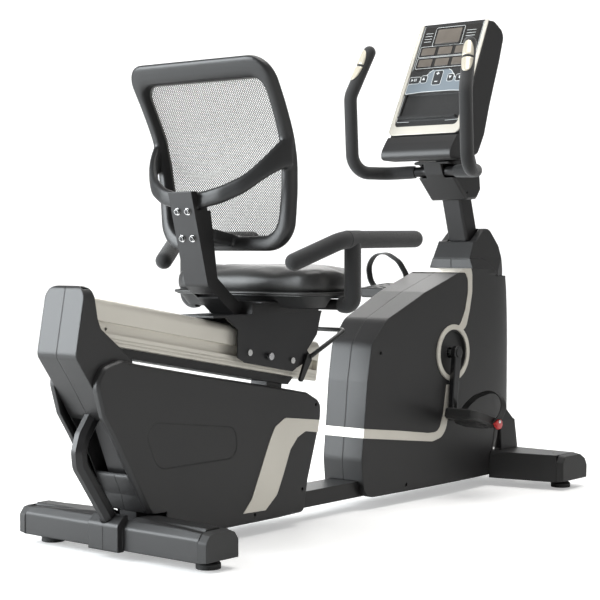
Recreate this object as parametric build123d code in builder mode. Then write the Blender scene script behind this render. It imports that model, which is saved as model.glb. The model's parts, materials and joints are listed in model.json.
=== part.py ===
from build123d import *
import os
from math import acos, atan2, cos, hypot, pi, radians, sin, tan

os.makedirs("parts", exist_ok=True)

# Recumbent exercise bike. Millimetres, +X forward (seat to console), +Y the rider's left,
# +Z up, origin on the floor under the middle of the bounding box.
# Profiles are (x, z), plans are (x, y) and sections seen along X are (y, z).
# Each list of corner radii runs in step with its outline.

# ---------------------------------------------------------------- driving dimensions
FOOT_X_REAR, FOOT_X_FRONT, FOOT_Y = -657.0, 793.0, 242.5  # levelling feet centres
FOOT_R, FOOT_H, STUD_R = 27.0, 14.0, 5.0
WHEEL_R = 18.5  # transport wheels
WHEEL_AXIS = (840.0, 33.0)
BEAM_Y, BEAM_Z0, BEAM_Z1 = 45.0, 34.0, 74.0  # base beam half width, bottom, top
BEAM_X0, BEAM_X1 = -680.0, 800.0  # base beam ends
STAB_Y = 268.0  # half length of the cross tubes
TUBE_Z = 55.0  # height of the cross tube axis
COVER_Y = 287.0  # half length over the end caps
RAIL_A = radians(9.9)  # seat rail incline
RAIL_X0, RAIL_X1 = -815.0, -52.0  # rail ends
RAIL_W, RAIL_H = 80.0, 98.4  # rail section
RAIL_ZREF = 412.5  # underside height at x = -450
CHANNEL_UP = 38.0 / cos(RAIL_A)  # roller channel centre, straight up from the underside
COLUMN_Y = 60.0  # rear column half width
SIDE_Y = 78.0  # rear side cover half width
WALL = 3.0  # moulded wall
CRANK_X, CRANK_Z, CRANK_R = 497.0, 385.0, 170.0  # crank centre and arm length
CRANK_AXIS = (CRANK_X, CRANK_Z)
CRANK_LEAN = radians(7.0)  # arms off vertical, the lower one (right) towards the rear
PULLEY_R, SMALL_R = 115.0, 20.0  # drive pulley and flywheel pulley
FLY_X, FLY_Z, FLY_R = 290.0, 260.0, 108.0
FLY_AXIS = (FLY_X, FLY_Z)
BELT_Y0, BELT_Y1 = 34.0, 46.0
SEAT_HALF = 233.0  # cushion half width
ARM_Y = 262.0  # armrest half spacing
TUBE_R, FOAM_R = 12.7, 20.5  # armrest tube and foam radii
BAR_R, GRIP_R = 14.0, 18.0  # handlebar tube and foam radii
BEND_R = 55.0  # handlebar bends
MAST_A = radians(17.0)  # mast lean to the rear
MAST_FOOT_X, MAST_FOOT_Z = 699.5, 575.0  # a point on the mast axis
MAST_Z0, MAST_L = 560.0, 460.0  # lower end and length of the mast

CUT, COMMON = Mode.SUBTRACT, Mode.INTERSECT
SIDES = (("right", -1), ("left", 1))


# ---------------------------------------------------------------- planes and points
def plane_y(y):
    """Sketch plane at this y: local x = X, local y = Z, positive extrusion towards -Y."""
    return Plane.XZ.offset(-y)


def plane_x(x):
    """Sketch plane at this x: local x = Y, local y = Z, positive extrusion towards +X."""
    return Plane.YZ.offset(x)


def plane_z(z):
    return Plane.XY.offset(z)


def cross_plane(x, z, direction):
    """Plane through (x, 0, z) square to direction, local x = Y."""
    return Plane(origin=(x, 0, z), x_dir=(0, 1, 0), z_dir=direction)


def rail_point(x, above=0.0):
    """Profile point at x, this far above the rail underside."""
    return (x, RAIL_ZREF - tan(RAIL_A) * (x + 450.0) + above)


def mirrored(half):
    """Closed plan made of half and its mirror image in Y; points on the axis stay single."""
    return half + [(x, -y) for x, y in reversed(half) if y != 0]


def on_side(points, side):
    """Points given for +Y, moved to the wanted side."""
    return [(x, side * y, z) for x, y, z in points]


def shifted(points, distance):
    """2D line moved sideways, to the left of its direction for a positive distance."""
    out = []
    for i, (x, y) in enumerate(points):
        x0, y0 = points[max(i - 1, 0)]
        x1, y1 = points[min(i + 1, len(points) - 1)]
        length = hypot(x1 - x0, y1 - y0)
        out.append((x - distance * (y1 - y0) / length, y + distance * (x1 - x0) / length))
    return out


RAIL_PLANE = cross_plane(*rail_point(RAIL_X0), (cos(RAIL_A), 0, -sin(RAIL_A)))
RAIL_L = (RAIL_X1 - RAIL_X0) / cos(RAIL_A)
MAST_PLANE = cross_plane(
    MAST_FOOT_X - (MAST_Z0 - MAST_FOOT_Z) * tan(MAST_A), MAST_Z0, (-sin(MAST_A), 0, cos(MAST_A))
)


# ---------------------------------------------------------------- shape helpers
def rounded(points, radii):
    """Closed outline in the active BuildLine, each corner rounded by its own radius."""
    count = len(points)
    starts, mids, ends = [], [], []
    for i in range(count):
        (px, py), (cx, cy), (nx, ny) = points[i - 1], points[i], points[(i + 1) % count]
        ax, ay, bx, by = px - cx, py - cy, nx - cx, ny - cy
        len_a, len_b = hypot(ax, ay), hypot(bx, by)
        ax, ay, bx, by = ax / len_a, ay / len_a, bx / len_b, by / len_b
        half = 0.5 * atan2(abs(ax * by - ay * bx), ax * bx + ay * by)
        if radii[i] <= 0 or half > 1.5607:  # sharp corner, or hardly a corner at all
            starts.append((cx, cy))
            mids.append(None)
            ends.append((cx, cy))
            continue
        setback = min(radii[i] / tan(half), 0.49 * len_a, 0.49 * len_b)
        radius = setback * tan(half)
        mx, my = ax + bx, ay + by
        depth = (radius / sin(half) - radius) / hypot(mx, my)
        starts.append((cx + ax * setback, cy + ay * setback))
        mids.append((cx + mx * depth, cy + my * depth))
        ends.append((cx + bx * setback, cy + by * setback))
    for i in range(count):
        if mids[i] is not None:
            ThreePointArc(starts[i], mids[i], ends[i])
        a, b = ends[i], starts[(i + 1) % count]
        if hypot(a[0] - b[0], a[1] - b[1]) > 1e-6:
            Line(a, b)


# These draw a sketch of their own and apply it to the part being built.
def prism(plane, points, length, radii=None, mode=Mode.ADD, taper=0.0, both=False, inset=0.0):
    """Extruded outline, sharp or rounded, optionally moved inwards by inset first."""
    with BuildSketch(plane) as section:
        with BuildLine():
            if radii is None:
                Polyline(*points, close=True)
            else:
                rounded(points, radii)
        make_face()
        if inset:
            offset(amount=-inset, kind=Kind.INTERSECTION)
    extrude(section.sketch, amount=length, both=both, taper=taper, mode=mode)


def strip(plane, first, second, length, mode=Mode.ADD, both=False):
    """Extruded band between two splines that run the same way."""
    with BuildSketch(plane) as section:
        with BuildLine():
            Spline(*first)
            Line(first[-1], second[-1])
            Spline(*reversed(second))
            Line(second[0], first[0])
        make_face()
    extrude(section.sketch, amount=length, both=both, mode=mode)


def cylinder(plane, radius, length, *centres, bore=0.0, mode=Mode.ADD):
    """Cylinders, or tubes if bore is given, at centres (the plane's origin if none)."""
    with BuildSketch(plane) as section:
        with Locations(*(centres or [(0, 0)])):
            Circle(radius)
            if bore:
                Circle(bore, mode=CUT)
    extrude(section.sketch, amount=length, mode=mode)


def block(plane, width, height, length, *centres, corner=0.0, mode=Mode.ADD):
    """Rectangular blocks with optional corner radius, placed like cylinder."""
    with BuildSketch(plane) as section:
        with Locations(*(centres or [(0, 0)])):
            if corner:
                RectangleRounded(width, height, corner)
            else:
                Rectangle(width, height)
    extrude(section.sketch, amount=length, mode=mode)


def box_section(outer, bore, half_width, wall):
    """Hollow frame member centred on y = 0 from its outer and inner profiles."""
    prism(Plane.XZ, outer, half_width, both=True)
    prism(Plane.XZ, bore, half_width - wall, both=True, mode=CUT)


def sweep_round(points, bend, radius, x_dir=(1, 0, 0), mode=Mode.ADD):
    """Round bar along a 3D polyline with bends of one radius."""
    with BuildLine() as path:
        FilletPolyline(*points, radius=bend)
    way = Vector(*points[1]) - Vector(*points[0])
    with BuildSketch(Plane(origin=points[0], x_dir=x_dir, z_dir=way)) as section:
        Circle(radius)
    sweep(section.sketch, path=path.wires()[0], mode=mode)


def straight_rod(start, end, radius, mode=Mode.ADD):
    way = Vector(*end) - Vector(*start)
    cylinder(Plane(origin=start, z_dir=way.normalized()), radius, way.length, mode=mode)


def save(part, name):
    part.label = name
    export_step(part, f"parts/{name}.step")


# ---------------------------------------------------------------- frame
HANDLE = [(-760, 312), (-789, 271), (-799, 240), (-796, 211), (-712, 88)]  # lift handle line
HANDLE_UP, HANDLE_DOWN = (29, 0, 41), (84, 0, -123)  # directions out of its two ends
HANDLE_IN = (-29, 0, -41)  # along the handle from its upper end
COLUMN_TUBE = [
    (-655, 60), (-622, 60), (-622, 100), (-735, 425),
    (-740, 452), (-792, 460), (-785, 425), (-655, 100),
]
COLUMN_BORE = [
    (-650, 64), (-626, 64), (-626, 100), (-739, 425),
    (-744, 446), (-786, 452), (-781, 425), (-650, 100),
]
BEAM_MID = ((BEAM_X0 + BEAM_X1) / 2, 0)
BEAM_WALL = 3.0
TUBE_XS = (FOOT_X_REAR, FOOT_X_FRONT)
FLY_SHAFT_R = 8.5

with BuildPart() as main_frame:
    # base beam
    beam_l, beam_h = BEAM_X1 - BEAM_X0, BEAM_Z1 - BEAM_Z0
    block(plane_z(BEAM_Z0), beam_l, 2 * BEAM_Y, beam_h, BEAM_MID)
    block(
        plane_z(BEAM_Z0 + BEAM_WALL), beam_l - 2 * BEAM_WALL, 2 * (BEAM_Y - BEAM_WALL),
        beam_h - 2 * BEAM_WALL, BEAM_MID, mode=CUT,
    )
    # cross tubes, still solid
    for x in TUBE_XS:
        block(plane_y(STAB_Y), 52, 42, 2 * STAB_Y, (x, TUBE_Z), corner=5)
    # rear column tube
    box_section(COLUMN_TUBE, COLUMN_BORE, 26, 4)
    # stubs that carry the lift handle
    for end, way, length in ((HANDLE[0], HANDLE_UP, 34), (HANDLE[-1], HANDLE_DOWN, 48)):
        cylinder(cross_plane(*end, way), 10, length)
    # inclined beam under the rail
    box_section(
        [rail_point(-806), rail_point(-130), rail_point(-150, -19.5), rail_point(-806, -19.5)],
        [
            rail_point(-735, -3), rail_point(-150, -3),
            rail_point(-158, -16.5), rail_point(-735, -16.5),
        ],
        35, 3,
    )
    # post under the front of the rail
    box_section(
        [(-250, 70), (-190, 70), rail_point(-160, -10), rail_point(-215, -10)],
        [(-246, 74), (-194, 74), rail_point(-167, -24), rail_point(-208, -24)],
        25, 4,
    )
    # front post and crank hub arm
    box_section(
        [(655, 70), (735, 70), (728, 570), (668, 570)],
        [(659, 74), (731, 74), (725, 520), (671, 520)],
        20, 4,
    )
    prism(Plane.XZ, [(515, 370), (670, 345), (670, 425), (515, 400)], 18, both=True)
    cylinder(plane_y(30), 27, 60, CRANK_AXIS)
    # flywheel post
    prism(plane_y(26), [(262, 70), (330, 70), (308, 278), (272, 278)], 36, [0, 0, 16, 16])
    # mast socket
    block(MAST_PLANE.offset(-22), 74, 68, 150, corner=9)
    block(MAST_PLANE, 64.2, 58.2, 400, corner=7, mode=CUT)
    # crank hub bore and its two bearing seats
    cylinder(plane_y(31), 16, 62, CRANK_AXIS, mode=CUT)
    for y in (30, -17):
        cylinder(plane_y(y), 21, 13, CRANK_AXIS, mode=CUT)
    # flywheel shaft bore
    cylinder(plane_y(27), FLY_SHAFT_R + 0.05, 38, FLY_AXIS, mode=CUT)
    # cross tubes hollowed from both ends
    for x in TUBE_XS:
        for y in (STAB_Y + 1, -60):
            block(plane_y(y), 46, 36, STAB_Y - 59, (x, TUBE_Z), corner=3, mode=CUT)
    # stud holes
    stud_places = [(x, side * FOOT_Y) for x in TUBE_XS for side in (-1, 1)]
    cylinder(plane_z(30), STUD_R + 0.06, 12, *stud_places, mode=CUT)
save(main_frame.part, "main_frame")

# ---------------------------------------------------------------- levelling feet
for end, x in (("rear", FOOT_X_REAR), ("front", FOOT_X_FRONT)):
    for hand, side in SIDES:
        centre = (x, side * FOOT_Y)
        with BuildPart() as leveller:
            cylinder(Plane.XY, FOOT_R, FOOT_H, centre)
            chamfer(leveller.edges().filter_by(GeomType.CIRCLE).group_by(Axis.Z)[-1], 3)
            fillet(leveller.edges().filter_by(GeomType.CIRCLE).group_by(Axis.Z)[0], 1.5)
            # nut and stud
            with BuildSketch(plane_z(FOOT_H)):
                with Locations(centre):
                    RegularPolygon(9, 6)
            extrude(amount=5.5)
            cylinder(plane_z(FOOT_H), STUD_R, 48, centre)
        save(leveller.part, f"leveller_{end}_{hand}")

# ---------------------------------------------------------------- stabiliser covers
SLEEVE_Y = COVER_Y - 17  # half length without the end caps
REAR_PROFILE = [
    (-717, 21), (-717, 70), (-704, 86), (-690, 92), (-642, 92), (-628, 86), (-614, 68), (-614, 21),
]
with BuildPart() as rear_stabiliser_cover:
    prism(plane_y(SLEEVE_Y), REAR_PROFILE, 2 * SLEEVE_Y, [2, 10, 5, 3, 3, 5, 10, 2])
    # the arms lose height towards their ends
    for side in (-1, 1):
        slope = [(side * 60, 93.5), (side * 300, 81.5), (side * 300, 100), (side * 60, 100)]
        prism(plane_x(-730), slope, 130, mode=CUT)
    # centre clamp block
    clamp = [(-731, 18), (-731, 76), (-712, 96), (-640, 96), (-640, 18)]
    prism(plane_y(46), clamp, 92, [3, 12, 8, 0, 0])
    # raised ridge along each arm
    for y in (COVER_Y - 22, -58):
        ridge = [(-690, 84), (-685, 90.5), (-650, 90.5), (-645, 84)]
        prism(plane_y(y), ridge, COVER_Y - 22 - 58, [0, 2, 2, 0])
    # room for the cross tube, the studs and the base beam
    room = [(-713, 15), (-713, 70), (-702, 82), (-640, 82), (-618, 66), (-618, 15)]
    prism(plane_y(COVER_Y), room, 2 * COVER_Y, mode=CUT)
    block(plane_x(-700), 124, 104, 120, (0, 50), mode=CUT)
    # slit down the middle of the rear face
    block(plane_y(0.6), 2, 60, 1.2, (-731, 40), mode=CUT)
    # room for the lift handle and its stub
    cylinder(cross_plane(-745.9, 137.6, HANDLE_DOWN), 18.9, 64, mode=CUT)
    cylinder(cross_plane(*HANDLE[-1], HANDLE_DOWN), 10.5, 50, mode=CUT)
save(rear_stabiliser_cover.part, "rear_stabiliser_cover")

FRONT_OUT = [(684, 22), (682, 80), (694, 97), (818, 97), (846, 82), (858, 60), (856, 22)]
FRONT_IN = [(688, 15), (686, 79), (696, 93), (816, 93), (843, 79), (854, 58), (852, 15)]
FRONT_PLAN = mirrored([(683, 0), (683, 70), (721, 270.5), (880, 270.5)])
with BuildPart() as front_stabiliser_cover:
    prism(plane_y(SLEEVE_Y), FRONT_OUT, 2 * SLEEVE_Y, [2, 10, 10, 6, 18, 8, 2])
    prism(Plane.XY, FRONT_PLAN, 120, mode=COMMON)
    with BuildPart(mode=Mode.PRIVATE) as front_room:
        prism(plane_y(COVER_Y), FRONT_IN, 2 * COVER_Y)
        prism(Plane.XY, [(x + 4, y * 1.02) for x, y in FRONT_PLAN], 120, mode=COMMON)
    add(front_room.part, mode=CUT)
    # middle is open for the beam, the post and the lower cover
    with BuildSketch(plane_z(10)):
        with Locations((800, 0)):
            Rectangle(140, 172)
        with Locations((705, 0)):
            Rectangle(60, 151)
    extrude(amount=100, mode=CUT)
    # pockets for the transport wheels
    for y in (200, -166):
        cylinder(plane_y(y), WHEEL_R + 2.5, 34, WHEEL_AXIS, mode=CUT)
    # small holes in the top
    cylinder(plane_z(85), 3, 20, (765, 235), (765, -235), mode=CUT)
save(front_stabiliser_cover.part, "front_stabiliser_cover")

REAR_CAP = [
    (-718.5, 21), (-718.5, 66), (-705, 83), (-690, 86), (-642, 86), (-626, 82), (-613, 64), (-613, 21),
]
FRONT_CAP = [
    (722, 22), (721, 76), (734, 96.5), (818, 96.5), (846, 81.5), (857.5, 60), (855.5, 22),
]
CAP_L = 20.6
with BuildPart() as stabiliser_end_caps:
    for side in (-1, 1):
        root = plane_y(side * (COVER_Y - 16.6))
        prism(root, REAR_CAP, -side * CAP_L, [3, 12, 6, 4, 4, 8, 12, 3], taper=9)
        prism(root, FRONT_CAP, -side * CAP_L, [3, 12, 12, 8, 18, 8, 3], taper=9)
save(stabiliser_end_caps.part, "stabiliser_end_caps")

# ---------------------------------------------------------------- transport wheels
with BuildPart() as transport_wheels:
    for y in (197, -169):
        cylinder(plane_y(y), WHEEL_R, 28, WHEEL_AXIS, bore=12.5)
        cylinder(plane_y(y - 4), 13, 20, WHEEL_AXIS)  # hub
    fillet(
        transport_wheels.edges()
        .filter_by(GeomType.CIRCLE)
        .filter_by(lambda e: abs(e.radius - WHEEL_R) < 0.1),
        4,
    )
    cylinder(plane_y(205), 4, 410, WHEEL_AXIS)  # axle
save(transport_wheels.part, "transport_wheels")

# ---------------------------------------------------------------- rear column covers
COLUMN_OUT = [
    (-834, 594), (-812, 594), (-799, 524), (-790, 503), (-700, 434), (-616, 97.5), (-664, 97.5),
    (-675, 134), (-705, 196), (-734, 253), (-777, 320), (-820, 387), (-862, 447),
]
COLUMN_OUT_R = [10, 22, 20, 14, 4, 2, 2, 4, 10, 10, 10, 30, 22]
COLUMN_IN = [
    (-831, 591), (-814, 591), (-802, 523), (-793, 501), (-703.5, 432), (-620, 111), (-620, 80),
    (-640, 80), (-672, 136), (-702, 198), (-731, 255), (-774, 322), (-817, 389), (-858.5, 447),
]
COLUMN_IN_WIDE = [  # lower part, hollowed right up to the side wall
    (-720, 434), (-703.5, 430), (-622, 112), (-622, 80),
    (-650, 80), (-680, 150), (-790, 345), (-790, 420),
]
SEAM = 0.15  # gap from the centre plane to each half of a split cover
for hand, side in SIDES:
    with BuildPart() as column_cover:
        prism(plane_y(side * SEAM), COLUMN_OUT, -side * (COLUMN_Y - SEAM), COLUMN_OUT_R)
        # rounded shoulders seen from behind
        shoulders = [(0, 90), (side * COLUMN_Y, 90), (side * COLUMN_Y, 594), (0, 594)]
        prism(plane_x(-900), shoulders, 400, [0, 0, 30, 0], mode=COMMON)
        prism(Plane.XZ, COLUMN_IN, -side * (COLUMN_Y - WALL - 8), mode=CUT)
        prism(Plane.XZ, COLUMN_IN_WIDE, -side * (COLUMN_Y - WALL), mode=CUT)
        # opening for the rail and its beam
        rail_mid = (0, RAIL_H / 2 - 10)
        block(RAIL_PLANE.offset(-4), RAIL_W + 1, RAIL_H + 21, 140, rail_mid, mode=CUT)
        # opening for the upper end of the lift handle
        with BuildSketch(cross_plane(HANDLE[0][0] + 7.2, HANDLE[0][1] + 10.2, HANDLE_IN)):
            RegularPolygon(17.3, 8, major_radius=False, rotation=22.5)
        extrude(amount=70, mode=CUT)
        # the column tube comes out at the foot
        block(plane_z(90), 37, 54, 30, (-638, 0), mode=CUT)
    save(column_cover.part, f"column_cover_{hand}")

# ---------------------------------------------------------------- lift handle
with BuildPart() as lift_handle:
    with BuildLine() as handle_path:
        FilletPolyline(*[(x, 0, z) for x, z in HANDLE], radius=19)
    with BuildSketch(cross_plane(*HANDLE[0], HANDLE_IN)):
        RegularPolygon(16.8, 8, major_radius=False, rotation=22.5)
    sweep(path=handle_path.wires()[0])
save(lift_handle.part, "lift_handle")

# ---------------------------------------------------------------- seat rail
RAIL_HALF = RAIL_W / 2
RAIL_SECTION = [(-RAIL_HALF, 0), (RAIL_HALF, 0), (RAIL_HALF, RAIL_H), (-RAIL_HALF, RAIL_H)]
RAIL_SECTION_R = [4, 4, 20, 20]
with BuildPart() as seat_rail:
    with BuildSketch(RAIL_PLANE):
        with BuildLine():
            rounded(RAIL_SECTION, RAIL_SECTION_R)
        make_face()
        # roller channels in the sides
        with Locations((-34, 38), (34, 38)):
            Rectangle(14, 24, mode=CUT)
        # shallow grooves
        with Locations((-40, 9), (40, 9), (-40, 16), (40, 16)):
            Rectangle(2.4, 1.6, mode=CUT)
        # hollows
        with BuildLine():
            rounded([(-35.5, 55), (35.5, 55), (35.5, 93.5), (-35.5, 93.5)], [3, 3, 15, 15])
        make_face(mode=CUT)
        with Locations((0, 38)):
            RectangleRounded(46, 24, 3, mode=CUT)
        with Locations((0, 12.5)):
            RectangleRounded(70, 16, 3, mode=CUT)
    extrude(amount=RAIL_L)
    # small hole near the column
    cylinder(plane_y(-20), 3.4, 12, rail_point(-745, 36), mode=CUT)
    # end plug
    prism(RAIL_PLANE.offset(RAIL_L), RAIL_SECTION, 4, RAIL_SECTION_R)
save(seat_rail.part, "seat_rail")

# ---------------------------------------------------------------- rear side covers
SIDE_FRONT = [  # top and front edge shared by the side panel and the middle
    (-489, 386), (-336, 360), (-211, 338), (-125, 322), (-72, 296), (-74, 255), (-90, 205),
    (-122, 110), (-138, 33),
]
SIDE_OUT = [(-700, 424.5)] + SIDE_FRONT + [
    (-232, 31), (-419, 31), (-600, 40), (-668, 105), (-700, 158),
    (-765, 268), (-797, 317), (-818, 388), (-795, 424), (-745, 436),
]
SIDE_R = [30, 0, 0, 0, 30, 26, 20, 20, 10, 12, 0, 0, 20, 20, 20, 20, 20, 34, 26, 20]
MID_OUT = [(-697, 424)] + SIDE_FRONT + [(-596, 33), (-614, 106)]
MID_R = [3, 0, 0, 0, 30, 26, 20, 20, 10, 6, 3, 3]
BEVEL = 6.0  # width of the tapered outer edge
for hand, side in SIDES:
    with BuildPart() as side_cover:
        flat = SIDE_Y - COLUMN_Y - BEVEL - 0.3
        prism(plane_y(side * (COLUMN_Y + 0.3)), SIDE_OUT, -side * flat, SIDE_R)
        prism(plane_y(side * (SIDE_Y - BEVEL)), SIDE_OUT, -side * BEVEL, SIDE_R, taper=40)
        prism(plane_y(side * SEAM), MID_OUT, -side * (COLUMN_Y + 1), MID_R)
        # hollow
        prism(
            Plane.XZ, SIDE_OUT, -side * (SIDE_Y - WALL), SIDE_R, mode=CUT, inset=WALL + BEVEL
        )
        prism(Plane.XZ, MID_OUT, -side * COLUMN_Y, MID_R, mode=CUT, inset=WALL)
        # bottom and ends are open over the base beam
        block(plane_z(20), 520, 2 * BEAM_Y + 2, 20, (-370, 0), mode=CUT)
        for x in (-160, -640):
            block(plane_x(x), 2 * BEAM_Y + 1, 41, 60, (0, 54), mode=CUT)
        # clear of the rear stabiliser cover
        block(plane_z(15), 100, 200, 80.6, (-662, 0), mode=CUT)
        # opening in the top for the post and the beam
        opening = [
            (-250, 250), (-100, 250), rail_point(-100, 8),
            rail_point(-330, 8), (-330, 340), (-250, 340),
        ]
        prism(Plane.XZ, opening, 36, both=True, mode=CUT)
        # shallow panel with sloped edges
        panel = [(-690, 300), (-386, 262), (-379, 190), (-640, 190)]
        face = plane_y(side * SIDE_Y)
        prism(face, panel, side * 1.4, [30, 30, 30, 40], taper=35, mode=CUT)
        # screw holes
        cylinder(face, 4, side * 12, (-94, 290), (-146, 90), (-320, 50), mode=CUT)
    save(side_cover.part, f"side_cover_{hand}")

# curved stripe near the front of each side cover
STRIPE = [
    (-83, 252), (-89, 222), (-136, 229), (-166, 217), (-193, 190), (-219, 133), (-242, 88),
    (-284, 56), (-362, 58), (-332, 88), (-304, 145), (-267, 220), (-248, 250), (-211, 268),
]
STRIPE_R = [0, 0, 16, 14, 20, 60, 30, 0, 0, 30, 60, 40, 24, 20]
with BuildPart() as side_cover_stripes:
    for side in (-1, 1):
        prism(plane_y(side * (SIDE_Y + 0.02)), STRIPE, -side * 1.4, STRIPE_R)
save(side_cover_stripes.part, "side_cover_stripes")

# ---------------------------------------------------------------- front shroud
SHROUD_PROFILE = [
    (113, 100), (121, 31), (300, 31), (851, 31), (851, 110), (838, 250), (822, 400), (800, 546),
    (786, 600), (760, 612), (556, 612), (372, 553), (205, 484), (150, 425), (132, 330),
    (119, 205), (110, 130),
]
SHROUD_R = [40, 84, 0, 8, 20, 60, 60, 30, 12, 20, 24, 40, 60, 50, 60, 60, 60]
SHROUD_SIDE = [(90, 61), (200, 68), (330, 74), (430, 77), (520, 78), (620, 77), (720, 72)]
SHROUD_BEND = [(790, 60), (833, 38)]  # the plan turns in towards the nose
SHROUD_X0, NOSE_X = 90, 850


def shroud_body(side, inset):
    """Solid half of the shroud envelope, inset inwards everywhere."""
    with BuildPart(mode=Mode.PRIVATE) as body:
        prism(plane_y(side * SEAM), SHROUD_PROFILE, -side * 90, SHROUD_R, inset=inset)
        nose = NOSE_X - inset
        with BuildSketch(Plane.XY):
            with BuildLine():
                plan = [(x, side * (y - inset)) for x, y in SHROUD_SIDE]
                plan += [(x - 0.6 * inset, side * (y - 0.8 * inset)) for x, y in SHROUD_BEND]
                plan += [(nose - 1.5, side * 14), (nose, side * SEAM)]
                Spline(*plan, tangents=((1, side * 0.07), (0, -side)))
                Polyline((nose, side * SEAM), (SHROUD_X0, side * SEAM), plan[0])
            make_face()
        extrude(amount=700, mode=COMMON)
    return body.part


# neck cover profile: wavy lower edge (first six points), front, top
NECK = [
    (602, 639), (628, 641.7), (659, 640), (690, 627), (716, 604), (727, 590), (781, 590),
    (769, 630), (752, 675), (707, 723), (684, 724), (640, 689), (628, 688),
]
NECK_R = [0, 30, 30, 50, 30, 6, 4, 20, 30, 12, 12, 8, 4]
RING_R0, RING_R1 = 60.0, 77.0  # crank recess and the ring round it
COLLAR_ROOM = [
    (605.5, 560), (605.5, 636), (628, 638.5), (658, 636.7),
    (687, 624), (712, 602), (723, 588), (723, 560),
]
for hand, side in SIDES:
    outside = plane_y(side * 90)
    with BuildPart() as shroud:
        add(shroud_body(side, 0.0))
        add(shroud_body(side, WALL), mode=CUT)
        # seam side is open
        prism(Plane.XZ, SHROUD_PROFILE, -side * 20, SHROUD_R, mode=CUT, inset=WALL)
        # recess for the crank disc, with its own floor and wall
        cylinder(outside, RING_R0, side * 25, CRANK_AXIS, mode=CUT)
        cylinder(plane_y(side * 68), RING_R0 + 3, side * 3, CRANK_AXIS)
        cylinder(plane_y(side * 68), RING_R0 + 3, -side * 7.6, CRANK_AXIS, bore=RING_R0)
        cylinder(outside, 15, side * 40, CRANK_AXIS, mode=CUT)
        # raised collar under the neck cover
        with BuildPart(mode=Mode.PRIVATE) as collar:
            prism(Plane.XZ, [(602, 596), (602, 650), (740, 650), (740, 596)], -side * 90)
            section = [(SEAM, 585), (76, 585), (75, 606), (62.5, 641), (62, 655), (SEAM, 655)]
            prism(plane_x(590), [(side * y, z) for y, z in section], 160, mode=COMMON)
        add(collar.part)
        with BuildPart(mode=Mode.PRIVATE) as collar_room:
            prism(Plane.XZ, COLLAR_ROOM, -side * 90)
            section = [(-1, 550), (70, 550), (70, 600), (59, 639), (-1, 645)]
            prism(plane_x(590), [(side * y, z) for y, z in section], 160, mode=COMMON)
        add(collar_room.part, mode=CUT)
        # top follows the wavy edge of the neck cover
        above = [(560, 700), (560, 640)] + [(x, z - 0.3) for x, z in NECK[:6]]
        above += [(860, 589.7), (860, 700)]
        prism(Plane.XZ, above, -side * 95, [0, 0] + NECK_R[:6] + [0, 0], mode=CUT)
        # mast socket, beam and cross tube pass through
        block(MAST_PLANE.offset(20), 77, 71, 140, mode=CUT)
        block(plane_x(80), 2 * BEAM_Y + 1, 49, 60, (0, 50), mode=CUT)
        block(plane_z(20), 760, 2 * BEAM_Y + 1, 54.3, (470, 0), mode=CUT)
        block(plane_y(side * 95), 128, 74, side * 95, (800, 60), mode=CUT)
        # screw holes
        cylinder(outside, 4.5, side * 40, (184, 400), (290, 48), mode=CUT)
    save(shroud.part, f"front_shroud_{hand}")

TRIM_BAND = [  # from the rear edge to the crank ring
    (90, 213.5), (265, 192.5), (385, 176), (420, 176), (437, 187), (452, 225), (466, 300),
    (484, 300), (476, 225), (466, 184), (446, 160), (402, 151.5), (265, 168), (90, 189),
]
TRIM_UP = [  # from the crank ring to the top
    (487, 430), (509, 430), (560, 452), (578, 500), (590, 548), (590, 600), (580, 622),
    (480, 622), (480, 604), (556, 602), (569, 582), (569, 548), (556, 500), (535, 465),
]
with BuildPart() as shroud_trims:
    for side in (-1, 1):
        with BuildPart(mode=Mode.PRIVATE) as band:
            add(shroud_body(side, -1.5))
            add(shroud_body(side, -0.03), mode=CUT)
            with BuildSketch(plane_y(side * 100)):
                with BuildLine():
                    rounded(TRIM_BAND, [0, 0, 60, 30, 30, 60, 0, 0, 60, 40, 40, 40, 0, 0])
                make_face()
                with BuildLine():
                    rounded(TRIM_UP, [0, 0, 30, 40, 40, 30, 4, 0, 0, 10, 20, 40, 40, 30])
                make_face()
                with Locations(CRANK_AXIS):
                    Circle(RING_R1 - 2, mode=CUT)
            extrude(amount=side * 99.7, mode=COMMON)
        add(band.part)
        # ring round the crank recess
        with BuildPart(mode=Mode.PRIVATE) as ring:
            cylinder(plane_y(side * 74), RING_R1, -side * 8.5, CRANK_AXIS, bore=RING_R0 + 3.2)
            chamfer(ring.edges().filter_by(lambda e: abs(abs(e.center().Y) - 82.5) < 0.05), 1.5)
            add(shroud_body(side, -0.03), mode=CUT)
        add(ring.part)
save(shroud_trims.part, "shroud_trims")


def lower_plan(half_width):
    return mirrored([(735, -half_width), (826, -half_width), (857, -48), (862, 0)])


LOWER_R = [0, 30, 40, 0, 40, 30, 0]
UPPER_PLAN = mirrored([(743, -75.5), (817, -75.5), (848, -41), (853, 0)])
LOWER_ROOM = [(725, 20), (725, 240), (738, 240), (738, 100.5), (852, 100.5), (856, 20)]
with BuildPart() as front_lower_cover:
    prism(plane_z(96.5), lower_plan(84), 80, LOWER_R, taper=6)
    prism(plane_z(176.4), UPPER_PLAN, 44, [0, 26, 34, 0, 34, 26, 0], taper=36)
    prism(plane_z(28), lower_plan(84.5), 68.5, LOWER_R)
    for side in (-1, 1):
        add(shroud_body(side, -0.6), mode=CUT)
    prism(Plane.XZ, LOWER_ROOM, 81.5, both=True, mode=CUT)
    # the cross tube goes through both sides
    block(plane_y(90), 96, 84, 180, (779, 54), mode=CUT)
    # slot along the centre plane
    block(plane_z(100), 2000, 0.6, 100, mode=CUT)
save(front_lower_cover.part, "front_lower_cover")

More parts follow.
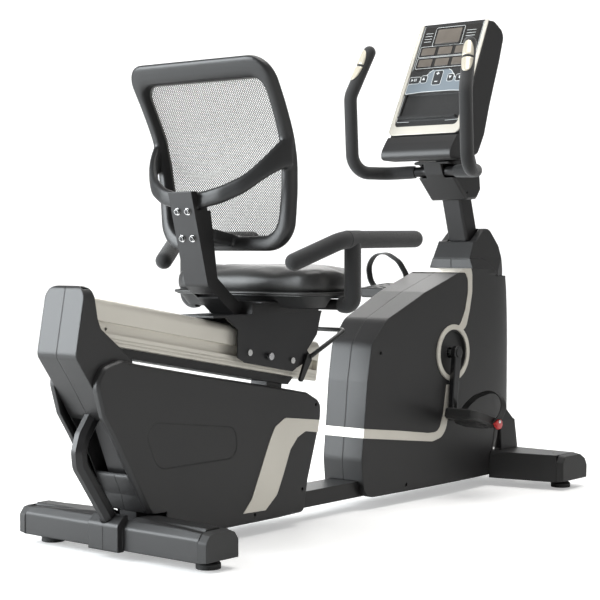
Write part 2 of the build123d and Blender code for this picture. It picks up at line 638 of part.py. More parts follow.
# ---------------------------------------------------------------- neck cover and mast
BAR = [  # left half of the handlebar line, from the middle to the tip
    (534, 0, 881), (534, 40, 881), (505, 150, 877),
    (397, 189, 878), (386.5, 190, 1086), (442, 166.5, 1211),
]
BAR_MID = (BAR[0][0], BAR[0][2])


def neck_body(inset):
    """Neck cover envelope, inset inwards."""
    with BuildPart(mode=Mode.PRIVATE) as body:
        prism(plane_y(74 - inset), NECK, 148 - 2 * inset, NECK_R, inset=inset)
        section = [
            (-73 + inset, 580), (73 - inset, 580), (72 - inset, 604), (62 - inset, 640),
            (57 - inset, 726 - inset), (-57 + inset, 726 - inset), (-62 + inset, 640),
            (-72 + inset, 604),
        ]
        prism(plane_x(560), section, 260, [0, 0, 10, 30, 14, 14, 30, 10], mode=COMMON)
        plan = mirrored([(560, -90), (690, -90), (735, -71 + inset), (784, -56 + inset)])
        prism(plane_z(560), plan, 200, [0, 10, 20, 16, 16, 20, 10, 0], mode=COMMON)
    return body.part


NECK_MOUTH = [
    (606, 630), (628, 645), (659, 643), (690, 630), (716, 607),
    (727, 593), (777, 593), (777, 560), (606, 560),
]
with BuildPart() as neck_cover:
    add(neck_body(0.0))
    add(neck_body(WALL), mode=CUT)
    # open bottom
    prism(Plane.XZ, NECK_MOUTH, 58, both=True, mode=CUT)
    block(MAST_PLANE.offset(20), 76, 70, 300, mode=CUT)
save(neck_cover.part, "neck_cover")

MAST_W, MAST_D, MAST_WALL = 64, 58, 3
MAST_BORE_W, MAST_BORE_D = MAST_W - 2 * MAST_WALL, MAST_D - 2 * MAST_WALL
with BuildPart() as mast:
    with BuildSketch(MAST_PLANE):
        RectangleRounded(MAST_W, MAST_D, 8)
        RectangleRounded(MAST_BORE_W, MAST_BORE_D, 5, mode=CUT)
    extrude(amount=MAST_L)
    # console plate on the mast head
    block(MAST_PLANE.offset(MAST_L), 110, 70, 5, corner=6)
    # saddle for the handlebar
    block(plane_y(28), 44, 37, 56, (556, 882))
    cylinder(plane_y(40), BAR_R + 0.05, 80, BAR_MID, mode=CUT)
    block(MAST_PLANE.offset(-1), MAST_BORE_W, MAST_BORE_D, MAST_L + 1, corner=5, mode=CUT)
save(mast.part, "mast")

# ---------------------------------------------------------------- handlebar
with BuildPart() as handlebar:
    for radius, mode in ((BAR_R, Mode.ADD), (BAR_R - 2, CUT)):
        for side in (-1, 1):
            sweep_round(on_side(BAR, side), BEND_R, radius, mode=mode)
save(handlebar.part, "handlebar")

with BuildPart() as handlebar_grips:
    for side in (-1, 1):
        line = on_side(BAR, side)
        with BuildPart(mode=Mode.PRIVATE) as sleeve:
            sweep_round(line, BEND_R, GRIP_R)
            # leave the middle bare
            block(plane_y(69), 160, 90, 138, (500, 880), mode=CUT)
            # closed, rounded tip
            with Locations(line[-1]):
                Sphere(GRIP_R)
        add(sleeve.part)
        sweep_round(line, BEND_R, BAR_R, mode=CUT)
save(handlebar_grips.part, "handlebar_grips")

# two half shells on the rear of each upper arm, placed by fractions of the arm's length
with BuildPart() as pulse_sensors:
    for side in (-1, 1):
        low, high = [Vector(*point) for point in on_side(BAR[-2:], side)]
        arm = high - low
        for begin, finish in ((0.32, 0.62), (0.67, 0.95)):
            with BuildPart(mode=Mode.PRIVATE) as plate:
                base = Plane(origin=low + arm * begin, x_dir=(0, 1, 0), z_dir=arm.normalized())
                with BuildSketch(base):
                    Circle(GRIP_R + 1.3)
                    Circle(GRIP_R + 0.05, mode=CUT)
                    with Locations((0, -40)):
                        Rectangle(80, 80, mode=CUT)
                extrude(amount=arm.length * (finish - begin))
            add(plate.part)
save(pulse_sensors.part, "pulse_sensors")

# ---------------------------------------------------------------- console
CON_ORIGIN = (466.0, 0.0, 984.0)  # lower middle of the face
CON_UP = (0.438, 0.0, 0.899)  # up along the face
CON_OUT = (-0.899, 0.0, 0.438)  # out of the face, rearwards and up
# local x = the rider's right, local y = up the face
CON = Plane(origin=CON_ORIGIN, x_dir=(0, -1, 0), z_dir=CON_OUT)
CON_AXIS = Axis(origin=CON_ORIGIN, direction=CON_OUT)
FACE_L = 349.0
FACE_T = 8.0


def con_xz(up, out):
    """Profile point this far up the face and out of it."""
    return tuple(CON_ORIGIN[i] + CON_UP[i] * up + CON_OUT[i] * out for i in (0, 2))


HOUSING = [
    con_xz(-12, -8.2), con_xz(-11, 1.2), (445, 957), (427, 932), (427, 910), (490, 908),
    (560, 926), (592, 980), (619, 1063), (668, 1190), (689, 1256), (678, 1273), (640, 1294),
    con_xz(FACE_L, -8.2),
]
HOUSING_R = [0, 3, 40, 30, 14, 20, 30, 30, 60, 60, 20, 12, 6, 0]
with BuildPart() as console_housing:
    prism(Plane.XZ, HOUSING, 114, HOUSING_R, both=True)
    section = [(-114.5, 900), (114.5, 900), (114.5, 1300), (-114.5, 1300)]
    prism(plane_x(400), section, 320, [20, 20, 14, 14], mode=COMMON)
    prism(Plane.XZ, HOUSING, 107, HOUSING_R, both=True, mode=CUT, inset=6)
    # open towards the face plate
    block(CON.offset(-20), 212, FACE_L - 16, 18, (0, FACE_L / 2 - 2), mode=CUT)
    # mast head passes through the bottom
    block(MAST_PLANE.offset(MAST_L - 160), 112, 72, 220, mode=CUT)
save(console_housing.part, "console_housing")

KEYS = [  # name, across, up, width, height
    ("key_mode", -82.0, 168.0, 34.0, 18.0),
    ("key_up", -50.0, 170.0, 17.0, 20.0),
    ("key_plus_minus", -6.0, 172.0, 26.0, 42.0),
    ("key_down", 38.0, 170.0, 17.0, 20.0),
    ("key_start", 74.0, 168.0, 34.0, 18.0),
]
with BuildPart() as console_face:
    plate = [(-117, -6), (117, -6), (112, FACE_L), (-112, FACE_L)]
    prism(CON.offset(-FACE_T), plate, FACE_T, [16, 16, 5, 5])
    # reading shelf recess
    recess = [(-98, 42), (98, 42), (94, 122), (-94, 122)]
    prism(CON.offset(-4.5), recess, 8, [8, 8, 4, 4], mode=CUT)
    # shelf lip
    block(CON.offset(-5), 190, 7, 16, (0, 46), corner=3)
    # key windows
    with BuildSketch(CON.offset(-FACE_T - 1)):
        for _, across, up, width, height in KEYS:
            with Locations((across, up)):
                RectangleRounded(width + 1.0, height + 1.0, 4)
    extrude(amount=12, mode=CUT)
save(console_face.part, "console_face")

# border of the face: both sides and the bottom
with BuildPart() as console_trim:
    with BuildSketch(CON.offset(0.02)):
        with BuildLine():
            rounded(
                [(-117, -6), (117, -6), (112, FACE_L - 2), (-112, FACE_L - 2)], [16, 16, 2, 2]
            )
        make_face()
        with BuildLine():
            rounded(
                [(-104, 20), (104, 20), (101, FACE_L + 20), (-101, FACE_L + 20)], [12, 12, 0, 0]
            )
        make_face(mode=CUT)
    extrude(amount=3)
    fillet(console_trim.faces().sort_by(CON_AXIS)[-1].edges(), 0.8)
save(console_trim.part, "console_trim")

with BuildPart() as console_display:
    block(CON.offset(0.02), 186, 140, 1.2, (0, 268), corner=6)
    # one large and six small raised windows
    with BuildSketch(CON.offset(1.2)):
        with Locations((-8, 306)):
            RectangleRounded(84, 50, 3)
        for up in (259, 222):
            with Locations((-62, up), (-6, up), (50, up)):
                RectangleRounded(48, 26, 2)
    extrude(amount=0.8)
save(console_display.part, "console_display")

with BuildPart() as console_board:
    block(CON.offset(-18), 190, 190, 1.6, (0, 235), corner=4)
    # components
    with BuildSketch(CON.offset(-16.6)):
        with Locations((-8, 300)):
            Rectangle(80, 46)
        with Locations((40, 228)):
            Rectangle(18, 18)
        with Locations((-50, 220)):
            Rectangle(30, 10)
    extrude(amount=4)
save(console_board.part, "console_board")

for name, across, up, width, height in KEYS:
    with BuildPart() as key:
        block(CON.offset(-7), width, height, 10, (across, up), corner=3.6)
        fillet(key.faces().sort_by(CON_AXIS)[-1].edges(), 1.0)
        block(CON.offset(-8), width - 6, height - 6, 1, (across, up), corner=2)
    save(key.part, name)

BRACKET_OUT = [(503, 905), (518, 870), (590, 802), (640, 806), (660, 832), (655, 872), (628, 934)]
BRACKET_IN = [(508, 990), (522, 873), (592, 806), (638, 810), (655, 833), (650, 871), (600, 990)]
UNDER_CONSOLE = [
    (480, 908), (490, 908.4), (560, 925.4), (593, 979),
    (640, 1060), (700, 1060), (700, 1100), (480, 1100),
]
with BuildPart() as console_bracket_cover:
    prism(Plane.XZ, BRACKET_OUT, 62, [0, 24, 10, 14, 12, 20, 0], both=True)
    chamfer(
        console_bracket_cover.edges().filter_by(
            lambda e: abs(abs(e.center().Y) - 62) < 0.01 and e.center().Z < 925
        ),
        6,
    )
    prism(Plane.XZ, BRACKET_IN, 53, both=True, mode=CUT)
    # mast below, handlebar at the sides, console above
    block(MAST_PLANE, 64.6, 58.6, 500, corner=8, mode=CUT)
    for side in (-1, 1):
        with BuildSketch(plane_y(side * 29)):
            with Locations((516, 880)):
                Circle(19.5)
            with Locations((528, 881)):
                Circle(19)
            with Locations((500, 880)):
                Rectangle(32, 39)
        extrude(amount=-side * 42, mode=CUT)
    cylinder(plane_y(40), BAR_R + 0.4, 80, BAR_MID, mode=CUT)
    prism(Plane.XZ, UNDER_CONSOLE, 90, both=True, mode=CUT)
    # screw hole in the right side
    cylinder(plane_y(-20), 3.5, 50, (588, 822), mode=CUT)
save(console_bracket_cover.part, "console_bracket_cover")

# ---------------------------------------------------------------- drive
AXLE_HALF, AXLE_R = 97.0, 10.0
with BuildPart() as crank_axle:
    cylinder(plane_y(AXLE_HALF), AXLE_R, 2 * AXLE_HALF, CRANK_AXIS)
    cylinder(plane_y(34), 13, 3.5, CRANK_AXIS)
    chamfer(
        crank_axle.edges()
        .filter_by(GeomType.CIRCLE)
        .filter_by(lambda e: abs(abs(e.center().Y) - AXLE_HALF) < 0.1),
        1.5,
    )
save(crank_axle.part, "crank_axle")

with BuildPart() as crank_bearings:
    for y in (30, -17.2):
        cylinder(plane_y(y), 21, 12.8, CRANK_AXIS, bore=AXLE_R + 0.06)
save(crank_bearings.part, "crank_bearings")

RIM_W = BELT_Y1 - BELT_Y0 + 2
with BuildPart() as drive_pulley:
    cylinder(plane_y(BELT_Y1 + 1), PULLEY_R, RIM_W, CRANK_AXIS, bore=PULLEY_R - 9)
    # web with six round windows
    with BuildSketch(plane_y(BELT_Y1 - 3)):
        with Locations(CRANK_AXIS):
            Circle(PULLEY_R - 6)
            Circle(AXLE_R, mode=CUT)
            with PolarLocations(70, 6):
                Circle(22, mode=CUT)
    extrude(amount=5)
    cylinder(plane_y(BELT_Y1), 20, 11.6, CRANK_AXIS, bore=AXLE_R)
save(drive_pulley.part, "drive_pulley")

with BuildPart() as flywheel:
    cylinder(plane_y(-17), FLY_R, 32, FLY_AXIS, bore=FLY_R - 22)  # rim
    cylinder(plane_y(-28), FLY_R - 18, 8, FLY_AXIS)  # web
    cylinder(plane_y(-12), 16, 26, FLY_AXIS)  # hub
    cylinder(plane_y(BELT_Y1 + 2), FLY_SHAFT_R, BELT_Y1 + 2 + 20, FLY_AXIS)
    cylinder(plane_y(BELT_Y1 + 1), SMALL_R, RIM_W, FLY_AXIS)
save(flywheel.part, "flywheel")

# belt: closed band round the two pulleys
PULLEY_GAP = hypot(CRANK_X - FLY_X, CRANK_Z - FLY_Z)
TO_FLYWHEEL = atan2(CRANK_Z - FLY_Z, CRANK_X - FLY_X) + pi  # direction from the crank
with BuildPart() as drive_belt:
    for grow, mode in ((3.6, Mode.ADD), (0.6, CUT)):
        big, small = PULLEY_R + grow, SMALL_R + grow
        # tangent points lie this angle either side of TO_FLYWHEEL, seen from both centres
        spread = acos((big - small) / PULLEY_GAP)
        with BuildSketch(plane_y(BELT_Y1)):
            with Locations(CRANK_AXIS):
                Circle(big)
            with Locations(FLY_AXIS):
                Circle(small)
            corners = [
                (x + r * cos(TO_FLYWHEEL + turn), z + r * sin(TO_FLYWHEEL + turn))
                for x, z, r, turn in (
                    (CRANK_X, CRANK_Z, big, -spread), (FLY_X, FLY_Z, small, -spread),
                    (FLY_X, FLY_Z, small, spread), (CRANK_X, CRANK_Z, big, spread),
                )
            ]
            with BuildLine():
                Polyline(*corners, close=True)
            make_face()
        extrude(amount=BELT_Y1 - BELT_Y0, mode=mode)
save(drive_belt.part, "drive_belt")

# crank arms with their pedal spindles
CRANK_Y0, CRANK_T = 84.0, 14.0  # inner face and thickness of the arms
PEDAL_Y0, PEDAL_Y1 = 107.0, 210.0
PEDAL_W = PEDAL_Y1 - PEDAL_Y0
PEDAL_TILT = {-1: 16.0, 1: -5.0}  # degrees, toe down positive
PEDALS = {
    side: (CRANK_X + side * CRANK_R * sin(CRANK_LEAN), CRANK_Z + side * CRANK_R * cos(CRANK_LEAN))
    for side in (-1, 1)
}
for hand, side in SIDES:
    pedal_x, pedal_z = PEDALS[side]
    along_x, along_z = (pedal_x - CRANK_X) / CRANK_R, (pedal_z - CRANK_Z) / CRANK_R
    with BuildPart() as crank_arm:
        with BuildSketch(plane_y(side * CRANK_Y0)):
            with Locations(CRANK_AXIS):
                Circle(19)
            with Locations(PEDALS[side]):
                Circle(14)
            with BuildLine():
                Polyline(
                    (CRANK_X - along_z * 15, CRANK_Z + along_x * 15),
                    (CRANK_X + along_z * 15, CRANK_Z - along_x * 15),
                    (pedal_x + along_z * 11.5, pedal_z - along_x * 11.5),
                    (pedal_x - along_z * 11.5, pedal_z + along_x * 11.5),
                    close=True,
                )
            make_face()
        extrude(amount=-side * CRANK_T)
        outer_y = CRANK_Y0 + CRANK_T
        fillet(crank_arm.edges().filter_by(lambda e: abs(abs(e.center().Y) - outer_y) < 0.01), 3)
        cylinder(plane_y(side * 83), AXLE_R + 0.02, -side * 14.1, CRANK_AXIS, mode=CUT)
        # end cap over the axle
        cylinder(plane_y(side * 97.2), 12, -side * 2.6, CRANK_AXIS)
        # pedal spindle
        cylinder(plane_y(side * 97), 7, -side * (PEDAL_Y1 - 97 - 8), PEDALS[side])
    save(crank_arm.part, f"crank_arm_{hand}")


def tilted_pedal_part(part, side):
    """Part turned about the pedal spindle to the pedal's rest angle."""
    x, z = PEDALS[side]
    return part.rotate(Axis((x, 0, z), (0, 1, 0)), PEDAL_TILT[side])


for hand, side in SIDES:
    pedal_x, pedal_z = PEDALS[side]
    mid_y = side * (PEDAL_Y0 + PEDAL_Y1) / 2
    body_x = pedal_x - 5
    with BuildPart() as pedal:
        block(plane_z(pedal_z - 17), 134, PEDAL_W, 27, (body_x, mid_y), corner=18)
        chamfer(pedal.edges().group_by(Axis.Z)[0], 5)
        chamfer(pedal.edges().group_by(Axis.Z)[-1], 3)
        # tread pockets
        pockets = [(body_x + x, mid_y + y) for x in (-45, -17, 17, 45) for y in (-28, 0, 28)]
        block(plane_z(pedal_z + 8), 20, 18, 12, *pockets, corner=4, mode=CUT)
        # tapered block under the body
        under = [(-44, -12), (40, -12), (26, -25), (-30, -25)]
        under = [(pedal_x + x, pedal_z + z) for x, z in under]
        prism(plane_y(mid_y + 34), under, 68, [0, 0, 6, 6])
        # bore
        cylinder(
            plane_y(side * (PEDAL_Y0 - 2)), 7.06, -side * (PEDAL_W - 4), PEDALS[side], mode=CUT
        )
    save(tilted_pedal_part(pedal.part, side), f"pedal_{hand}")

# underside of each strap: distance from the centre plane, height over the spindle
STRAP_LINE = {
    -1: [(106.5, 12), (113, 32), (140, 60), (180, 77), (214, 72), (234, 44), (229, 12), (211.5, -9)],
    1: [(106.5, 12), (109, 40), (132, 76), (172, 99), (214, 96), (240, 62), (236, 20), (211.5, -9)],
}
STRAP_T = 3.2
for hand, side in SIDES:
    pedal_x, pedal_z = PEDALS[side]
    inner, outer = [
        [(side * y, pedal_z + z) for y, z in line]
        for line in (STRAP_LINE[side], shifted(STRAP_LINE[side], STRAP_T))
    ]
    with BuildPart() as strap:
        strip(plane_x(pedal_x + 12), inner, outer, 25)
    save(tilted_pedal_part(strap.part, side), f"pedal_strap_{hand}")

# ---------------------------------------------------------------- seat carriage
TOP_Z = 517.5  # top of the carriage
CHEEK_Y, CHEEK_T = 54.0, 4.0  # inner face and thickness of the side cheeks
ROLLERS = [rail_point(-318, CHANNEL_UP), rail_point(-162, CHANNEL_UP)]  # rear, front
ROLLER_R = 11.6
LEVER_AXIS = (-104, 406)
LOCK_AXIS = rail_point(-248, CHANNEL_UP)
CHEEK = [
    (-356, TOP_Z), (-356, 418), (-330, 405), (-160, 374), (-147, 380), (-66, 460), (-48, TOP_Z),
]
with BuildPart() as carriage:
    for side in (-1, 1):
        prism(plane_y(side * CHEEK_Y), CHEEK, -side * CHEEK_T, [0, 6, 8, 8, 6, 4, 0])
    block(plane_z(TOP_Z - 5), 392, 116, 5, (-244, 0))
    # rear gussets of the overhanging plate
    for side in (-1, 1):
        gusset = [(-356, TOP_Z - 5), (-400, TOP_Z - 5), (-356, TOP_Z - 34)]
        prism(plane_y(side * CHEEK_Y), gusset, -side * CHEEK_T)
    # lugs for the release lever
    for side in (-1, 1):
        cheek = plane_y(side * CHEEK_Y)
        cylinder(cheek, 11, -side * CHEEK_T, LEVER_AXIS)
        prism(cheek, [(-104, 395), (-150, 380), (-110, 430), (-96, 413)], -side * CHEEK_T)
    # roller bosses
    for side in (-1, 1):
        for centre in ROLLERS:
            cylinder(plane_y(side * 43), 9, -side * 12, centre)
            cylinder(plane_y(side * 42), 4.05, -side * 20, centre, mode=CUT)
    # bores for the lever pivot and the lock plunger
    for side in (-1, 1):
        cylinder(plane_y(side * 42), 5.05, -side * 20, LEVER_AXIS, mode=CUT)
    cylinder(plane_y(-44), 9, 11, LOCK_AXIS)
    cylinder(plane_y(-42), 5.05, 20, LOCK_AXIS, mode=CUT)
save(carriage.part, "carriage")

for name, centre in zip(("rollers_rear", "rollers_front"), ROLLERS):
    with BuildPart() as rollers:
        for y in (39.4, -28.4):
            cylinder(plane_y(y), ROLLER_R, 11, centre, bore=4.06)
        chamfer(
            rollers.edges()
            .filter_by(GeomType.CIRCLE)
            .filter_by(lambda e: abs(e.radius - ROLLER_R) < 0.1),
            1,
        )
    save(rollers.part, name)

KNOB_R = 9.0
with BuildPart() as lock_plunger:
    for y, radius, length in ((-27.1, KNOB_R, 6), (-33, 5, 36), (-63, KNOB_R, 6)):
        cylinder(plane_y(y), radius, length, LOCK_AXIS)
    fillet(
        lock_plunger.edges()
        .filter_by(GeomType.CIRCLE)
        .filter_by(lambda e: abs(e.radius - KNOB_R) < 0.1),
        1.2,
    )
save(lock_plunger.part, "lock_plunger")

# release lever: U bar in front of the carriage with short latch arms
LEVER_LINE = [(-104, -66, 406), (36, -66, 466), (36, 66, 466), (-104, 66, 406)]
LATCH = [(-96, 398), (-96, 414), (-112, 414), (-142, 352), (-132, 346)]
with BuildPart() as release_lever:
    sweep_round(LEVER_LINE, 14, 5.5, x_dir=(0, 1, 0))
    for side in (-1, 1):
        prism(plane_y(side * 59.5), LATCH, -side * 7, [4, 6, 6, 5, 5])
        cylinder(plane_y(side * 53), 5, -side * 14, LEVER_AXIS)
save(release_lever.part, "release_lever")

# ---------------------------------------------------------------- seat frame, back bracket
BACK_SCREWS = [(y, z) for z in (755.0, 694.0) for y in (-16, 16)]
SEAT_Z0, SEAT_Z1 = TOP_Z + 0.2, 548.0  # seat frame bottom and top
SEAT_MID = (-195, 0)
CROSS_X, CROSS_Z = -187.0, 540.0  # armrest cross tube


def screw_plane(y, z):
    """Plane on the bracket's sloping rear face, normal pointing backwards."""
    return Plane(
        origin=(-484 + (776 - z) * 50 / 191, y, z), x_dir=(0, 1, 0), z_dir=(-191, 0, -50)
    )


BRACKET = [
    (-490.3, 800), (-434, 585), (-345, SEAT_Z0), (-72, SEAT_Z0),
    (-72, SEAT_Z1), (-333, SEAT_Z1), (-402, 603), (-430.6, 800),
]
BRACKET_ROOM = [
    (-487.2, 804), (-479.9, 776), (-430.2, 586), (-398, 556), (-330, 620), (-380, 804),
]
with BuildPart() as seat_frame:
    prism(Plane.XZ, BRACKET, 36, [2, 14, 6, 0, 0, 10, 14, 2], both=True)
    # channel opens forwards
    prism(Plane.XZ, BRACKET_ROOM, 32, both=True, mode=CUT)
    # notches for the yoke
    notch = [(-469.7, 757.5), (-400, 757.5), (-400, 810), (-469.7, 810)]
    prism(Plane.XZ, notch, 40, both=True, mode=CUT)
    # wide cross box under the seat pan
    block(plane_z(SEAT_Z0), 246, 136, SEAT_Z1 - SEAT_Z0, SEAT_MID)
    block(plane_x(-310), 126, 22, 250, (0, 532), mode=CUT)
    # top plate
    block(plane_z(SEAT_Z1 - 4), 246, 208, 4, SEAT_MID, corner=10)
    # armrest cross tube passes through
    cylinder(plane_y(110), TUBE_R + 0.04, 220, (CROSS_X, CROSS_Z), mode=CUT)
    for y, z in BACK_SCREWS:
        cylinder(screw_plane(y, z).offset(2), 4.2, -14, mode=CUT)
save(seat_frame.part, "seat_frame")

# ---------------------------------------------------------------- armrests
STEM_Z0, STEM_Z1 = 639.0, 692.0
ARM_LINE = [(-331, 205.5, 640.5), (-226, ARM_Y, 691), (58, ARM_Y, 693)]  # rear, kink, front
ARM_BEND = 44.0
TUBE_BORE_R = TUBE_R - 2.5
CROSS_LINE = [
    (CROSS_X, ARM_Y, 640), (CROSS_X, ARM_Y, CROSS_Z),
    (CROSS_X, -ARM_Y, CROSS_Z), (CROSS_X, -ARM_Y, 640),
]


def armrest_side(side, radius, round_ends):
    """One armrest bar with its stem."""
    rear, kink, front = on_side(ARM_LINE, side)
    with BuildPart(mode=Mode.PRIVATE) as arm:
        straight_rod(rear, kink, radius)
        straight_rod(kink, front, radius)
        with Locations(kink):
            Sphere(radius)
        if round_ends:
            with Locations(rear, front):
                Sphere(radius)
        straight_rod((CROSS_X, side * ARM_Y, STEM_Z0), (CROSS_X, side * ARM_Y, STEM_Z1), radius)
    return arm.part


with BuildPart() as armrest_frame:
    sweep_round(CROSS_LINE, ARM_BEND, TUBE_R)
    for side in (-1, 1):
        add(armrest_side(side, TUBE_R, False))
    # bores of the cross tube and of the two bars
    sweep_round(CROSS_LINE, ARM_BEND, TUBE_BORE_R, mode=CUT)
    for side in (-1, 1):
        bore_rear, bore_front = on_side([(CROSS_X + 60, ARM_Y, 692.3), (54, ARM_Y, 693)], side)
        straight_rod(bore_rear, bore_front, TUBE_BORE_R, mode=CUT)
save(armrest_frame.part, "armrest_frame")

with BuildPart() as armrest_grips:
    for side in (-1, 1):
        with BuildPart(mode=Mode.PRIVATE) as foam:
            add(armrest_side(side, FOAM_R, True))
            foam_line = [
                (CROSS_X, ARM_Y, 645), (CROSS_X, ARM_Y, CROSS_Z), (CROSS_X, 160, CROSS_Z),
            ]
            sweep_round(on_side(foam_line, side), ARM_BEND, FOAM_R - 1.0)
            # the sleeve stops at the bend
            block(plane_y(side * 140), 60, 60, -side * 86, (CROSS_X, 540), mode=CUT)
        add(foam.part)
    add(armrest_frame.part, mode=CUT)
save(armrest_grips.part, "armrest_grips")

# ---------------------------------------------------------------- seat pan and cushion
CUSHION = mirrored([(-293, -SEAT_HALF), (-180, -SEAT_HALF), (-90, -SEAT_HALF + 22), (-8, -110)])
CUSHION_R = [60, 80, 90, 90, 90, 90, 80, 60]
with BuildPart() as seat_pan:
    prism(plane_z(563.2), CUSHION, -30, CUSHION_R, taper=38, inset=8)
    # clear of the seat frame
    block(plane_z(520), 500, 212, 28.3, (-190, 0), mode=CUT)
    block(plane_z(520), 426, 600, 34.4, mode=CUT)
save(seat_pan.part, "seat_pan")

with BuildPart() as seat_cushion:
    prism(plane_z(563.5), CUSHION, 66, CUSHION_R)
    chamfer(seat_cushion.edges().group_by(Axis.Z)[-1], 14)
    chamfer(seat_cushion.edges().group_by(Axis.Z)[0], 5)
save(seat_cushion.part, "seat_cushion")

# ---------------------------------------------------------------- back
BACK_LINE = [  # front face of the back, profile
    (-318, 655), (-312, 700), (-311, 795), (-315, 870), (-331, 930),
    (-364, 1000), (-395, 1055), (-425, 1107), (-433, 1120),
]


def back_slab(front, rear):
    """Slab following the back's profile, from front to rear behind the front line."""
    edges = [[(x - depth, z) for x, z in BACK_LINE] for depth in (front, rear)]
    with BuildPart(mode=Mode.PRIVATE) as slab:
        strip(Plane.XZ, *edges, 240, both=True)
    return slab.part


RING_OUT = [
    (-198, 665), (198, 665), (207, 800), (215, 1000),
    (218, 1100), (-218, 1100), (-215, 1000), (-207, 800),
]
RING_OUT_R = [76, 76, 200, 200, 62, 62, 200, 200]
RING_IN = [
    (-165, 699), (165, 699), (177, 800), (186, 930),
    (191, 1053), (-191, 1053), (-186, 930), (-177, 800),
]
RING_IN_R = [50, 50, 200, 200, 34, 34, 200, 200]
YOKE_PLAN = mirrored(
    [(-341, 206), (-371, 194), (-399, 175), (-429, 137), (-449, 90), (-457, 46), (-458, 0)]
)
YOKE_MID = [  # left half of the yoke from behind: y, middle height, half height
    (210, 898, 38), (196, 882, 33), (176, 852, 25), (140, 815, 21),
    (90, 792, 20), (42, 781, 19), (0, 779, 19),
]
YOKE_FULL = YOKE_MID + [(-y, z, half) for y, z, half in reversed(YOKE_MID[:-1])]
SPINE = [
    (-478.9, 778), (-483.4, 797), (-446, 797), (-432, 777), (-412, 712),
    (-330, 700), (-330, 674), (-420, 684), (-455.2, 684),
]
BACK_X0, BACK_DEPTH = -520, 260  # span that holds the whole back
with BuildPart() as back_frame:
    with BuildSketch(plane_x(BACK_X0)):
        with BuildLine():
            rounded(RING_OUT, RING_OUT_R)
        make_face()
        with BuildLine():
            rounded(RING_IN, RING_IN_R)
        make_face(mode=CUT)
    extrude(amount=BACK_DEPTH)
    add(back_slab(0, 36), mode=COMMON)
    # bowed yoke behind the mesh
    with BuildPart(mode=Mode.PRIVATE) as yoke:
        strip(plane_z(700), shifted(YOKE_PLAN, -10), shifted(YOKE_PLAN, 10), 260)
        upper = [(y, z + half) for y, z, half in YOKE_FULL]
        lower = [(y, z - half) for y, z, half in YOKE_FULL]
        strip(plane_x(BACK_X0), upper, lower, BACK_DEPTH, mode=COMMON)
        # clear of the steel channel
        block(plane_z(690), 30.4, 73, 112, (-484.9, 0), mode=CUT)
    add(yoke.part)
    # spine in the channel, down to the lower rail
    prism(Plane.XZ, SPINE, 31.5, both=True)
    # screw holes into the spine
    for y, z in BACK_SCREWS:
        cylinder(screw_plane(y, z).offset(2), 4.02, -34, mode=CUT)
save(back_frame.part, "back_frame")

with BuildPart() as back_mesh:
    prism(plane_x(BACK_X0), RING_IN, BACK_DEPTH, RING_IN_R, inset=0.3)
    add(back_slab(6, 10), mode=COMMON)
    add(back_frame.part, mode=CUT)
save(back_mesh.part, "back_mesh")

# ---------------------------------------------------------------- seat bolts
with BuildPart() as seat_bolts:
    # roller axles with heads outside the cheeks
    for side in (-1, 1):
        for centre in ROLLERS:
            cylinder(plane_y(side * 28), 4, -side * 31, centre)
            cylinder(plane_y(side * 58.1), 7.5, -side * 4.6, centre)
    # back screws: shank, washer and socket head
    for y, z in BACK_SCREWS:
        seat = screw_plane(y, z)
        cylinder(seat.offset(-28), 3.95, 30)
        cylinder(seat.offset(0.03), 8.2, 1.6)
        cylinder(seat.offset(1.0), 6.2, 5)
        with BuildSketch(seat.offset(3.5)):
            RegularPolygon(3, 6)
        extrude(amount=5, mode=CUT)
save(seat_bolts.part, "seat_bolts")
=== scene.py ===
"""Recumbent exercise bike: soft parts, prints, materials and a studio around its CAD frame.

Z is up and the floor lies just under z = 0. The rider faces +X, so +Y is the rider's left.
Outlines and places are in millimetres and go through mm(). Radii, widths and steps handed to
fillet_path, tube and strip are in metres, like the scene itself.
"""
import json
import math

import bmesh
import bpy
import numpy as np
from mathutils import Matrix, Vector


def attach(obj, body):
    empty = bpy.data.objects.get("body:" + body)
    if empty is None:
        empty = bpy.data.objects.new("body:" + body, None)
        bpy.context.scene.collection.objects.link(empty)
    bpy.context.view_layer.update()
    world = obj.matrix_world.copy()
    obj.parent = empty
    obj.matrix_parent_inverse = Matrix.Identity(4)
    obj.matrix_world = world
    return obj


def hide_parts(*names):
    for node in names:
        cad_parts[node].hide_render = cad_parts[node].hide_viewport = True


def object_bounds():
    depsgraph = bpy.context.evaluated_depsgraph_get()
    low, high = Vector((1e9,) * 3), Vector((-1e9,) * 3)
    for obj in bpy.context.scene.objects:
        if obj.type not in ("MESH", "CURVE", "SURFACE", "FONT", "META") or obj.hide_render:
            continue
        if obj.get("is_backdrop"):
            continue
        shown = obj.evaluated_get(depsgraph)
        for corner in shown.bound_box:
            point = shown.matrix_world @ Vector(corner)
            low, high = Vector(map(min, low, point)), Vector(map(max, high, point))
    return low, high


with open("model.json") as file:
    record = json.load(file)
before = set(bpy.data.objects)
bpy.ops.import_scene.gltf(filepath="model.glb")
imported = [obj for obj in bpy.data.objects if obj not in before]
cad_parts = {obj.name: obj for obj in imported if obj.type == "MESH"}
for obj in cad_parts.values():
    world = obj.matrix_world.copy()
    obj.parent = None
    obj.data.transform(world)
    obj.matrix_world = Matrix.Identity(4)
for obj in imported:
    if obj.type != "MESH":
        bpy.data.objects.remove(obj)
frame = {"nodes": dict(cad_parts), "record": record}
start_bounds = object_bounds()

ROOT = "frame"
MM = 0.001
SIDES = ((-1, "right"), (1, "left"))  # sign of y, name


# ------------------------------------------------------------------ points and paths
def mm(x, y, z):
    """Scene point from millimetres."""
    return Vector((x * MM, y * MM, z * MM))


def mm_upright(x, z, y):
    """Scene point for an outline drawn in x and z and extruded along y."""
    return mm(x, y, z)


